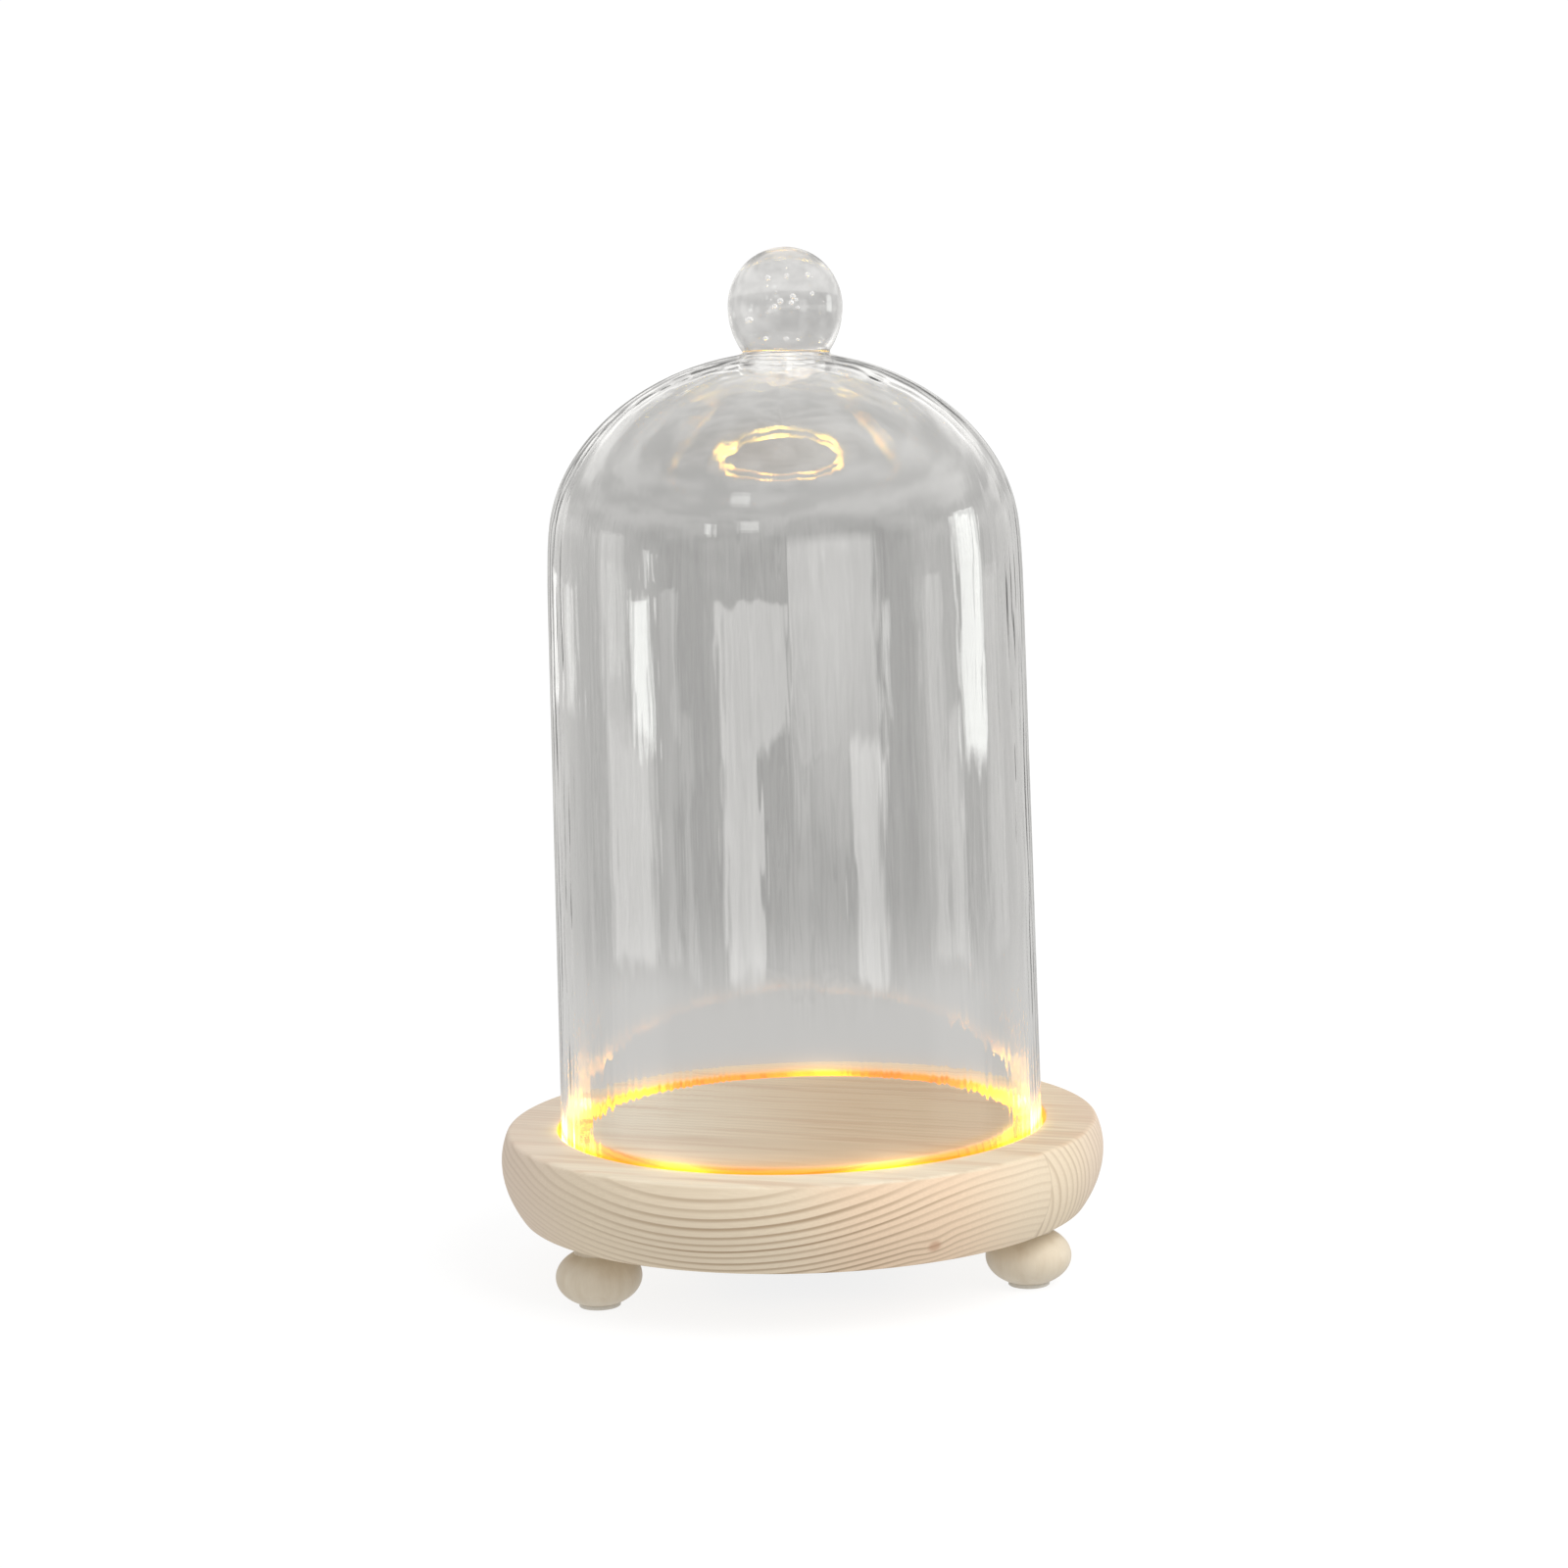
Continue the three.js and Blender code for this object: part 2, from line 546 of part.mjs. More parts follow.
// The switch's case, with a cavity that the slider runs in and three solder pins on top.
function switchBody() {
  const { y, length, width, travel } = SWITCH;
  const shell = block([-length / 2, y - width / 2, SWITCH_BOTTOM], [length / 2, y + width / 2, SWITCH_TOP]);
  const reach = SLIDER.halfLength + travel / 2 + SLIDER.play;
  const halfGap = SLIDER.halfWidth + SLIDER.play;
  const cavity = block(
    [-reach, y - halfGap, SWITCH_BOTTOM - OVERRUN],
    [reach, y + halfGap, SWITCH_BOTTOM + SLIDER.height + SLIDER.play],
  );
  const pins = [-PIN.spacing, 0, PIN.spacing].map((x) =>
    block(
      [x - PIN.halfWidth, y - PIN.halfThickness, SWITCH_TOP - PIN.rooted],
      [x + PIN.halfWidth, y + PIN.halfThickness, SWITCH_TOP + PIN.height],
    ),
  );
  return join(cut(shell, cavity), ...pins);
}

// The slider's shoe with the lever that stands out under the flange. At rest it is at the left, on.
function switchSlider() {
  const { y, lever, travel } = SWITCH;
  const shoe = block(
    [-SLIDER.halfLength, y - SLIDER.halfWidth, SWITCH_BOTTOM + FIT],
    [SLIDER.halfLength, y + SLIDER.halfWidth, SWITCH_BOTTOM + SLIDER.height],
  );
  const leverBar = block(
    [-lever / 2, y - lever / 2, BOX.flangeBottom - SLIDER.standOut],
    [lever / 2, y + lever / 2, SWITCH_BOTTOM + SLIDER.height / 2],
  );
  return join(shoe, leverBar).translate(-travel / 2, 0, 0);
}

// An axial resistor along X: the body between two bare leads.
function resistor() {
  const { halfLength, halfBody, bodyRadius, leadRadius } = RESISTOR;
  const profile = [
    [0, -halfLength],
    [leadRadius, -halfLength],
    [leadRadius, -halfBody],
    [bodyRadius, -halfBody],
    [bodyRadius, halfBody],
    [leadRadius, halfBody],
    [leadRadius, halfLength],
    [0, halfLength],
  ];
  return turned(profile, 12).rotateY(Math.PI / 2).translate(RESISTOR.x, SWITCH.y, RESISTOR.z);
}

// A point on one of the two leads where they run side by side along the channel.
function leadPoint(radius, side) {
  const [x, y, z] = polar(radius, WIRE_ANGLE, CHANNEL_Z);
  const [acrossX, acrossY] = polar(side * LEAD_SPACING, WIRE_ANGLE - 90, 0);
  return [x + acrossX, y + acrossY, z];
}

// A lead from inside the box, out through the gate in its back wall and into the splice sleeve.
function lead(insideBox, gateX, side) {
  const wallMiddle = (SWITCH_BAY.back + BOX.back) / 2;
  const gate = [[gateX, wallMiddle, CHANNEL_Z], [gateX, BOX.back + 0.8, CHANNEL_Z]];
  const [mouth, end] = [SLEEVE.start + 0.5, SLEEVE.start + 3.5];
  return wire([...insideBox, ...gate, leadPoint(mouth, side), leadPoint(end, side)], LEAD_RADIUS, 24);
}

// The red side runs from the cells' positive contact along the right wall to the resistor, and on as
// the red lead. The black side runs from the negative contact to the switch, and on as the black lead.
function addWires(parent) {
  const pinTip = SWITCH_TOP + PIN.height + 0.4;
  const resistorEnd = RESISTOR.halfLength + 0.7;
  const { y } = SWITCH;
  const fromResistor = [
    [RESISTOR.x - resistorEnd, y, RESISTOR.z],
    [-3, y + 1.8, 25.2],
    [-8, y + 2.1, 24.4],
    [-12.3, y + 2, 22],
  ];
  const fromSwitch = [
    [0, y, pinTip],
    [-0.7, y + 1.6, 21.6],
    [-5, y + 2.1, 21.3],
    [-9.4, y + 2.3, 20.2],
  ];
  add('lead_red', lead(fromResistor, -12.4, -1), materials.redSleeve, parent);
  add('lead_black', lead(fromSwitch, -10.5, 1), materials.blackSleeve, parent);
  const red = [
    [CELL_PITCH + 4, BAY.front + 1.2, CELL_Z + 5.2],
    [JUMPER.x, BAY.front + 3, JUMPER.z],
    [JUMPER.x, 0, JUMPER.z],
    [JUMPER.x, BAY.back - 2, JUMPER.z],
    [JUMPER.x, SWITCH_BAY.front + 1, JUMPER.z - 0.2],
    [RESISTOR.x + resistorEnd, y, RESISTOR.z],
  ];
  add('jumper_red', wire(red, JUMPER.radius, 20), materials.redSleeve, parent);
  const black = [
    [-CELL_PITCH, BAY.back - 0.9, CELL_Z + 5.2],
    [-CELL_PITCH, BAY.back + 0.2, JUMPER.z],
    [-CELL_PITCH, SWITCH_BAY.front + 0.6, JUMPER.z],
    [-6, y - 1.6, 25],
    [-2.8, y - 0.6, 22.4],
    [-PIN.spacing, y, pinTip],
  ];
  add('jumper_black', wire(black, JUMPER.radius, 20), materials.blackSleeve, parent);
}

// The shrunk sleeve over the joint between the leads and the light string.
function spliceSleeve() {
  const { inner, outer, length, start } = SLEEVE;
  const tube = closed([[outer, 0], [outer, length], [inner, length], [inner, 0]]);
  const sleeve = turned(tube, 16).rotateY(Math.PI / 2).rotateZ(THREE.MathUtils.degToRad(WIRE_ANGLE));
  return sleeve.translate(...polar(start, WIRE_ANGLE, CHANNEL_Z));
}

// ---- Assembly -----------------------------------------------------------------------------------

add('wooden_base', woodenBase(), materials.pine);

add('glass_dome', glassDome(), materials.glass);
add('dome_knob', knob(), materials.glass);

for (const { name, x, y } of footPlaces) {
  const place = new THREE.Group();
  place.position.set(x, y, 0);
  add(`foot_${name}`, bunFoot(), materials.birch, place);
  add(`foot_screw_${name}`, screw(FOOT_SCREW, FOOT_SCREW.headBottom), materials.steel, place);
  add(`foot_pad_${name}`, rod(0, 0, PAD_RADIUS, 0, PAD_THICKNESS), materials.felt, place);
  jar.add(place);
}

add('light_string', lightString(), materials.copper);
addLights(jar);

add('battery_box', batteryBox(), materials.blackPlastic);
add('battery_door', batteryDoor(), materials.blackPlastic);
addCells(jar);
for (const { name, x, y } of BOX_SCREWS) {
  add(name, screw(BOX_SCREW, BOX.flangeBottom), materials.steel).position.set(x, y, 0);
}
add('switch_body', switchBody(), materials.blackPlastic);
add('switch_slider', switchSlider(), materials.blackPlastic);
add('series_resistor', resistor(), materials.resistor);
addWires(jar);
add('splice_sleeve', spliceSleeve(), materials.blackSleeve);

export default jar;
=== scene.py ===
"""Looks for a glass bell jar that stands in the lit groove of a pine base.

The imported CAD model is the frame. This script gives each piece its fine surface and its material, and
sets up a pale floor, soft studio light and the camera. Metres; the front faces -Y.
"""

import json
import math
import random

import bmesh
import bpy
from mathutils import Matrix, Vector, noise

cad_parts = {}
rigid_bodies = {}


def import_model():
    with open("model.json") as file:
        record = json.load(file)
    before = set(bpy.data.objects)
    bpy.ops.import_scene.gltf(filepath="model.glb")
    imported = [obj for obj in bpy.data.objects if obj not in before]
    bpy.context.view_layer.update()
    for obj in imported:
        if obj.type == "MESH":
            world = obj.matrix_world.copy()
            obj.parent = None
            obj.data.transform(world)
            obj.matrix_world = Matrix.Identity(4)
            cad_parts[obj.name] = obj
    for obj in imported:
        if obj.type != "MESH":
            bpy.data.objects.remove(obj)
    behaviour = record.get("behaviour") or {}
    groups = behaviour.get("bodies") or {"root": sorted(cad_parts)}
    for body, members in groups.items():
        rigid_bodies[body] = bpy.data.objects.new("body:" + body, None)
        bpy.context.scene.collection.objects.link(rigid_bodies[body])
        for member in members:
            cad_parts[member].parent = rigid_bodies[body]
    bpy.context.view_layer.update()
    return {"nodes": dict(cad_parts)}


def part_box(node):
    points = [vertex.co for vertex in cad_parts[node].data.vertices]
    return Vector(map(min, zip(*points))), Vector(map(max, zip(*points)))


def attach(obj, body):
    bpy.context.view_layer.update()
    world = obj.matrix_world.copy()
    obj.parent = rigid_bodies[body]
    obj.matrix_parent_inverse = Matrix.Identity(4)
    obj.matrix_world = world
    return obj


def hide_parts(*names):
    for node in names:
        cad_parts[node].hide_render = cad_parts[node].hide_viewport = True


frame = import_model()

# ---- Sizes, read from the frame or named here ----------------------------------------------------

MM = 0.001

base_low, base_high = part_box("wooden_base")
BASE_RADIUS = base_high.x
BASE_BOTTOM = base_low.z
BASE_TOP = base_high.z
BASE_TOP_RADIUS = BASE_RADIUS - 1.8 * MM
BASE_BOTTOM_RADIUS = BASE_RADIUS - 4.8 * MM
BULGE_DROP = 7.5 * MM  # how far the widest ring lies under the top face
GROOVE_INNER = 53 * MM
GROOVE_OUTER = 61 * MM
GROOVE_FLOOR = BASE_TOP - 6 * MM
FOOT_SCREW_BORE = 1.55 * MM
BOX_SCREW_BORE = 1.05 * MM

glass_low, glass_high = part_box("glass_dome")
GLASS_FOOT_RADIUS = glass_high.x
GLASS_FOOT = glass_low.z
CROWN = glass_high.z
GLASS_WALL = 2.3 * MM
SHOULDER_RADIUS = GLASS_FOOT_RADIUS - 1.8 * MM
CAP_HEIGHT = 48 * MM
CROWN_THICKNESS = 3 * MM
GATHER = Vector((8.3, 2.6)) * MM  # the knob's gather bulges through the crown: radius and depth
SHOULDER = CROWN - CAP_HEIGHT

knob_low, knob_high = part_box("dome_knob")
KNOB_X = (knob_low.x + knob_high.x) / 2
KNOB_RADIUS = (knob_high.x - knob_low.x) / 2
KNOB_TOP = knob_high.z
KNOB_UPPER = 14.4 * MM
KNOB_LOWER = 16.6 * MM
KNOB_CENTRE = KNOB_TOP - KNOB_UPPER

BEADS = sorted(name for name in frame["nodes"] if name.startswith("led_bead_"))
FEET = ("front_left", "front_right", "back")
CELLS = ("battery_1", "battery_2", "battery_3")
WIRE_ANGLE = math.radians(110)  # where the light string goes down through the base


def middle(node):
    low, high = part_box(node)
    return (low + high) / 2


first_bead = middle(BEADS[0])
STRING_RADIUS = first_bead.xy.length
STRING_Z = first_bead.z
FIRST_BEAD_ANGLE = math.atan2(first_bead.y, first_bead.x)

# The pine: two boards glued side by side. Lengths in millimetres.
GRAIN_ANGLE = math.radians(-21)  # of the fibres, from +X
SEAM = -23.5  # across the grain, from the axis
FRONT_PITH = (-33.7, -36.6)  # across the grain and up: the centre of the front board's growth rings
REAR_PITH = (-150.0, -27.0)
FRONT_RING = 1.8  # the width of a year's growth
REAR_RING = 2.75
KNOT = (29.5, -67.0, 20.5)


# ---- Node trees ----------------------------------------------------------------------------------


class Num:
    """A number in a node tree, so that formulas read as plain arithmetic."""

    def __init__(self, nodes, socket):
        self.nodes = nodes
        self.socket = socket

    def __add__(self, other):
        return self.nodes.math("ADD", self, other)

    def __sub__(self, other):
        return self.nodes.math("SUBTRACT", self, other)

    def __rsub__(self, other):
        return self.nodes.math("SUBTRACT", other, self)

    def __mul__(self, other):
        return self.nodes.math("MULTIPLY", self, other)

    def __truediv__(self, other):
        return self.nodes.math("DIVIDE", self, other)

    def __pow__(self, other):
        return self.nodes.math("POWER", self, other)

    def __abs__(self):
        return self.nodes.math("ABSOLUTE", self)

    __radd__ = __add__
    __rmul__ = __mul__


class Nodes:
    """Writes one node tree. Each method adds what it is named after and returns its output."""

    def __init__(self, tree):
        self.tree = tree
        tree.nodes.clear()

    def put(self, socket, value):
        if isinstance(value, Num):
            value = value.socket
        if isinstance(value, bpy.types.NodeSocket):
            self.tree.links.new(value, socket)
        elif socket.type == "RGBA":
            socket.default_value = (*value[:3], 1)
        else:
            socket.default_value = value

    def node(self, kind, inputs=(), **settings):
        made = self.tree.nodes.new("ShaderNode" + kind)
        for name, value in settings.items():
            setattr(made, name, value)
        for key, value in dict(inputs).items():
            self.put(made.inputs[key], value)
        return made

    def num(self, socket):
        return Num(self, socket)

    def math(self, operation, *values):
        return self.num(self.node("Math", enumerate(values), operation=operation).outputs[0])

    def step(self, value, low, high):
        """0 below low, 1 above high, and a smooth curve between."""
        inputs = {"Value": value, "From Min": low, "From Max": high}
        return self.num(self.node("MapRange", inputs, interpolation_type="SMOOTHSTEP").outputs[0])

    def band(self, value, low, high, soft):
        """1 between low and high, with edges that are soft wide."""
        rise = self.step(value, low - soft / 2, low + soft / 2)
        return rise * (1 - self.step(value, high - soft / 2, high + soft / 2))

    def fade(self, distance, half):
        """1 up to distance 0, and past it halved by every half of distance."""
        return self.math("POWER", 0.5, self.math("MAXIMUM", distance, 0.0) / half)

    def vector(self, x, y, z):
        return self.node("CombineXYZ", {"X": x, "Y": y, "Z": z}).outputs[0]

    def noise(self, vector, scale=1.0, detail=2.0, roughness=0.5):
        inputs = {"Vector": vector, "Scale": scale, "Detail": detail, "Roughness": roughness}
        return self.num(self.node("TexNoise", inputs).outputs["Fac"])

    def mix(self, factor, first, second, blend="MIX"):
        made = self.node("Mix", {0: factor}, data_type="RGBA", blend_type=blend)
        self.put(made.inputs[6], first)
        self.put(made.inputs[7], second)
        return made.outputs[2]

    def parts(self, vector):
        made = self.node("SeparateXYZ", {0: vector})
        return [self.num(made.outputs[i]) for i in range(3)]

    def place(self):
        """Where the surface is on its piece at rest, in the row frame, in millimetres."""
        return [part / MM for part in self.parts(self.node("TexCoord").outputs["Object"])]

    def path(self, name):
        return self.num(self.node("LightPath").outputs[name])

    def bump(self, height, distance, strength):
        inputs = {"Height": height, "Distance": distance, "Strength": strength}
        return self.node("Bump", inputs).outputs[0]

    def principled(self, **inputs):
        named = {name.replace("_", " "): value for name, value in inputs.items()}
        return self.node("BsdfPrincipled", named).outputs[0]

    def mix_shader(self, factor, first, second):
        return self.node("MixShader", {0: factor, 1: first, 2: second}).outputs[0]

    def output(self, shader, kind="OutputMaterial"):
        self.node(kind, {"Surface": shader})


def material(name):
    made = bpy.data.materials.new(name)
    made.use_nodes = True
    return made, Nodes(made.node_tree)


# ---- Materials -----------------------------------------------------------------------------------

# Lengths in the patterns are millimetres: x / n in a noise makes its features about n wide. The other
# factors are shares, of a second colour, a bump or a light.


def fibres(nodes, along, across, up):
    """Streaks that run along the grain and show as dots on end grain."""
    fine, long = 0.4, 16
    return nodes.noise(nodes.vector(along / long, across / fine, up / fine), detail=3)


def pine(nodes, x, y, z):
    """The figure of the two boards, all through: the share of late wood, the place along and across the
    grain, 1 in the front board, and the way from the knot."""
    cos, sin = math.cos(GRAIN_ANGLE), math.sin(GRAIN_ANGLE)
    along = x * cos + y * sin
    across = y * cos - x * sin
    front = 1 - nodes.step(across, SEAM - 0.05, SEAM + 0.05)

    def ring(pith):
        return ((across - pith[0]) ** 2 + (z - pith[1]) ** 2) ** 0.5

    drift = nodes.noise(nodes.vector(along / 70, across / 25, z / 25), detail=1)
    knot = nodes.vector(x - KNOT[0], y - KNOT[1], z - KNOT[2])
    from_knot = nodes.num(nodes.node("VectorMath", {0: knot}, operation="LENGTH").outputs["Value"])
    knot_swirl = 1 - nodes.step(from_knot, 0.5, 7)
    wander = (drift - 0.5) * 2.4 + knot_swirl * 0.9
    front_years = (ring(FRONT_PITH) + wander) / FRONT_RING
    rear_years = (ring(REAR_PITH) + wander) / REAR_RING
    years = front_years * front + rear_years * (1 - front)
    years = years + nodes.noise(nodes.vector(years / 5, front, 0)) * 1.2
    season = nodes.math("FRACT", years)
    dryness = nodes.noise(nodes.vector(nodes.math("FLOOR", years) * 3.7, front, 0), detail=0)
    late = nodes.step(season, 0.38, 0.78) * (1 - nodes.step(season, 0.86, 0.98))
    late = late * (0.5 + nodes.step(dryness, 0.3, 0.7) * 0.6)
    return late, along, across, front, from_knot


def early_wood(nodes, pine_figure, patches, on_top, x):
    """Early wood: pale, pinkish right of the middle and at the ends; on top a lighter cream that is painted
    light from above, with tan bands.
    """
    _, along, across, front, _ = pine_figure
    shade = nodes.mix(patches, (0.68, 0.58, 0.44), (0.75, 0.64, 0.485))
    peach = nodes.band(x, 4, 44, 26) * front * (1 - on_top)
    shade = nodes.mix(peach * 0.8, shade, (0.76, 0.57, 0.41))
    # Painted light: the top face is made a lighter cream, as if lit from above.
    shade = nodes.mix(on_top * 0.75, shade, (0.81, 0.725, 0.575))
    bands = nodes.noise(nodes.vector(along / 55, across / 5, 0), detail=3)
    shade = nodes.mix(on_top * 0.7 * nodes.step(bands, 0.46, 0.66), shade, (0.66, 0.50, 0.36))
    ends = (1 - nodes.step(x, -72, -48)) + nodes.step(x, 62, 74)
    return nodes.mix(ends * 0.6, shade, (0.70, 0.57, 0.48))


def pine_colour(nodes, pine_figure, x, y, z):
    """Pale pine. The rings are darkest low on the front and faint at the left end and on top."""
    late, along, across, front, from_knot = pine_figure
    streaks = fibres(nodes, along, across, z)
    patches = nodes.noise(nodes.vector(along / 45, across / 18, z / 18), detail=2)
    low_on_front = nodes.band(x, -40, 34, 44) * (1 - nodes.step(z, 31, 37)) * front
    on_top = nodes.step(z, BASE_TOP / MM - 0.7, BASE_TOP / MM - 0.1)
    strength = (0.28 + 0.8 * low_on_front + 0.22 * (1 - front)) * (1 - 0.55 * on_top)
    early = early_wood(nodes, pine_figure, patches, on_top, x)
    colour = nodes.mix(late * strength * (0.6 + 0.5 * patches), early, (0.36, 0.26, 0.165))
    colour = nodes.mix((streaks - 0.5) * 0.45 + 0.1, colour, (0.50, 0.39, 0.27))
    knot_heart = 1 - nodes.step(from_knot, 0.8, 2.2)
    colour = nodes.mix(knot_heart * 0.55, colour, (0.42, 0.22, 0.13))
    seam = 1 - nodes.step(abs(across - SEAM), 0.05, 0.22)
    colour = nodes.mix(seam * 0.3, colour, (0.36, 0.27, 0.18))
    disc = on_top * (1 - nodes.step((x**2 + y**2) ** 0.5, GROOVE_INNER / MM - 1, GROOVE_INNER / MM + 1))
    disc_right = disc * nodes.step(x, -50, 20)
    rim_right = (on_top - disc) * nodes.step(x, 20, 60)
    # Painted shade and amber light: the right of the top face is darkened and warmed, as if shaded from the
    # light on the left and tinted by the groove's glow.
    painted_amber_shade = 0.78 * disc_right + 0.3 * rim_right
    colour = nodes.mix(painted_amber_shade, colour, (0.725, 0.555, 0.365), "MULTIPLY")
    return colour, streaks


def near_bead(nodes, x, y, sharpness):
    """1 beside each light bead, and 0 halfway between two of them."""
    angle = nodes.math("ARCTAN2", y, x)
    wave = nodes.math("COSINE", (angle - FIRST_BEAD_ANGLE) * len(BEADS))
    return (0.5 + 0.5 * wave) ** sharpness


def in_mirror(nodes):
    """1 for what is seen by reflection. Lights are made brighter there, because a direct view clips them."""
    reflected = nodes.math("GREATER_THAN", nodes.path("Glossy Depth"), 0.5)
    return reflected * (1 - nodes.path("Is Diffuse Ray"))


def base_glow(nodes, x, y, z, late):
    """Amber light in the groove: yellow near each bead, orange between, and a soft spill past its mouth."""
    top, floor_z = BASE_TOP / MM, GROOVE_FLOOR / MM
    inner, outer = GROOVE_INNER / MM, GROOVE_OUTER / MM
    radius = (x**2 + y**2) ** 0.5
    near = near_bead(nodes, x, y, 4.0)
    ragged = nodes.noise(nodes.vector(x / 6, y / 6, z / 3), detail=2)
    sunk = nodes.step(z, floor_z - 1, floor_z - 0.5) * (1 - nodes.step(z, top - 0.9, top))
    groove = nodes.band(radius, inner - 0.25, outer + 0.25, 0.5) * sunk
    lit = groove * (0.58 + near * 0.32) * (1.25 - 0.9 * late) * (0.75 + 0.5 * ragged)
    spill = nodes.fade(radius - outer, 0.9) * nodes.fade(inner - radius, 0.6)
    spill = spill * (1 - groove) * (0.16 + 0.25 * near) * nodes.step(z, top - 1.5, top - 0.5)
    mirrored = in_mirror(nodes)
    colour = nodes.mix(near, (1.0, 0.42, 0.06), (1.0, 0.74, 0.03))
    colour = nodes.mix(mirrored, colour, (1.0, 0.78, 0.10))
    deep = 1 - nodes.step(z, top - 3.5, top - 1.5)
    boost = 1 + mirrored * deep * (5 + 55 * near)
    return groove, colour, lit * boost + spill


def base_wood():
    made, nodes = material("base_pine")
    made.cycles.emission_sampling = "NONE"
    x, y, z = nodes.place()
    figure = pine(nodes, x, y, z)
    late = figure[0]
    colour, streaks = pine_colour(nodes, figure, x, y, z)
    groove, glow_colour, glow = base_glow(nodes, x, y, z, late)
    # Painted amber light: the groove's wood colour is tinted orange, as if lit by the beads.
    colour = nodes.mix(groove, colour, (0.9, 0.55, 0.14), "MULTIPLY")
    nodes.output(
        nodes.principled(
            Base_Color=colour,
            Roughness=0.52 + 0.2 * streaks,
            Specular_IOR_Level=0.35,
            Normal=nodes.bump(late * 0.15 + streaks * 0.5, 0.05 * MM, 0.6),
            Emission_Color=glow_colour,
            Emission_Strength=glow,
        )
    )
    return made


def foot_wood():
    made, nodes = material("foot_wood")
    x, y, z = nodes.place()
    rings = nodes.noise(nodes.vector(x / 3.5, y / 3.5, z / 22), detail=3)
    streaks = nodes.noise(nodes.vector(x / 0.5, y / 0.5, z / 9), detail=3)
    colour = nodes.mix(nodes.step(rings, 0.35, 0.7), (0.68, 0.60, 0.47), (0.62, 0.53, 0.40))
    colour = nodes.mix(streaks * 0.22, colour, (0.46, 0.37, 0.27))
    nodes.output(
        nodes.principled(
            Base_Color=colour,
            Roughness=0.38 + 0.2 * streaks,
            Coat_Weight=0.25,
            Coat_Roughness=0.3,
            Normal=nodes.bump(streaks, 0.04 * MM, 0.5),
        )
    )
    return made


def blown_surface(nodes, x, y, z):
    """The height of the glass's gentle unevenness. Both faces of the wall move together, so it bends
    reflections but hardly what is seen through it."""
    shoulder, crown, girth = SHOULDER / MM, CROWN / MM, SHOULDER_RADIUS / MM
    up = nodes.math("MAXIMUM", z - shoulder, 0.0)
    outward = nodes.node("VectorMath", {0: nodes.vector(x, y, up)}, operation="NORMALIZE").outputs[0]
    out_x, out_y, out_z = nodes.parts(outward)
    height = out_z * (CAP_HEIGHT / MM) + nodes.math("MINIMUM", z, shoulder)

    def waves(wide, high):
        place = nodes.vector(out_x * (girth / wide), out_y * (girth / wide), height / high)
        return nodes.noise(place, detail=1)

    broad, drawn = waves(9, 40), waves(2.2, 28)
    facing = nodes.node("NewGeometry").outputs["Normal"]
    cosine = nodes.node("VectorMath", {0: outward, 1: facing}, operation="DOT_PRODUCT").outputs["Value"]
    on_cap = nodes.step(out_z, 0.1, 0.5)
    in_wall = 1 - nodes.step(z, crown - 8, crown - 2)
    return (broad + 0.3 * drawn * (1 - on_cap)) * nodes.math("SIGN", nodes.num(cosine)) * in_wall


def lets_light_by(nodes, shader, tint=(1, 1, 1)):
    """Outputs the shader, but clear to shadow and diffuse rays, so that the glass casts no dark shadow."""
    passes = nodes.math("MAXIMUM", nodes.path("Is Shadow Ray"), nodes.path("Is Diffuse Ray"))
    clear = nodes.node("BsdfTransparent", {"Color": tint}).outputs[0]
    nodes.output(nodes.mix_shader(passes, shader, clear))


def foot_light(nodes, x, y):
    """The amber light that the glass catches at its foot: how far it reaches up, its colour and strength.
    It goes by height in the world, so that it stays behind when the dome is lifted."""
    world_z = nodes.parts(nodes.node("NewGeometry").outputs["Position"])[2]
    foot = nodes.fade((world_z - BASE_TOP) / MM, 1.2)
    near = near_bead(nodes, x, y, 3.0)
    mirrored = in_mirror(nodes)
    amber = nodes.mix(near, (1.0, 0.34, 0.02), (1.0, 0.56, 0.02))
    amber = nodes.mix(mirrored, amber, (1.0, 0.62, 0.22))
    return foot, amber, foot * (0.17 + 0.25 * near) * (1 + 4 * mirrored)


def knob_light(nodes, x, y, z):
    """Where the knob is, and the faint painted glow given to its hazy glass and to the gather under it."""
    crown, gather_radius = CROWN / MM, GATHER.x / MM
    in_knob = nodes.step(z, crown - 0.5, crown + 2)
    cloud = nodes.noise(nodes.vector(x / 4, y / 4, z / 4), detail=3)
    painted_haze_glow = in_knob * (0.02 + 0.07 * nodes.step(cloud, 0.35, 0.65))
    off_knob = ((x - KNOB_X / MM) ** 2 + y**2) ** 0.5
    gather = 1 - nodes.step(off_knob, gather_radius - 1, gather_radius)
    gather = gather * nodes.step(z, crown - 7, crown - 5) * (1 - in_knob)
    return in_knob, painted_haze_glow + 0.10 * gather


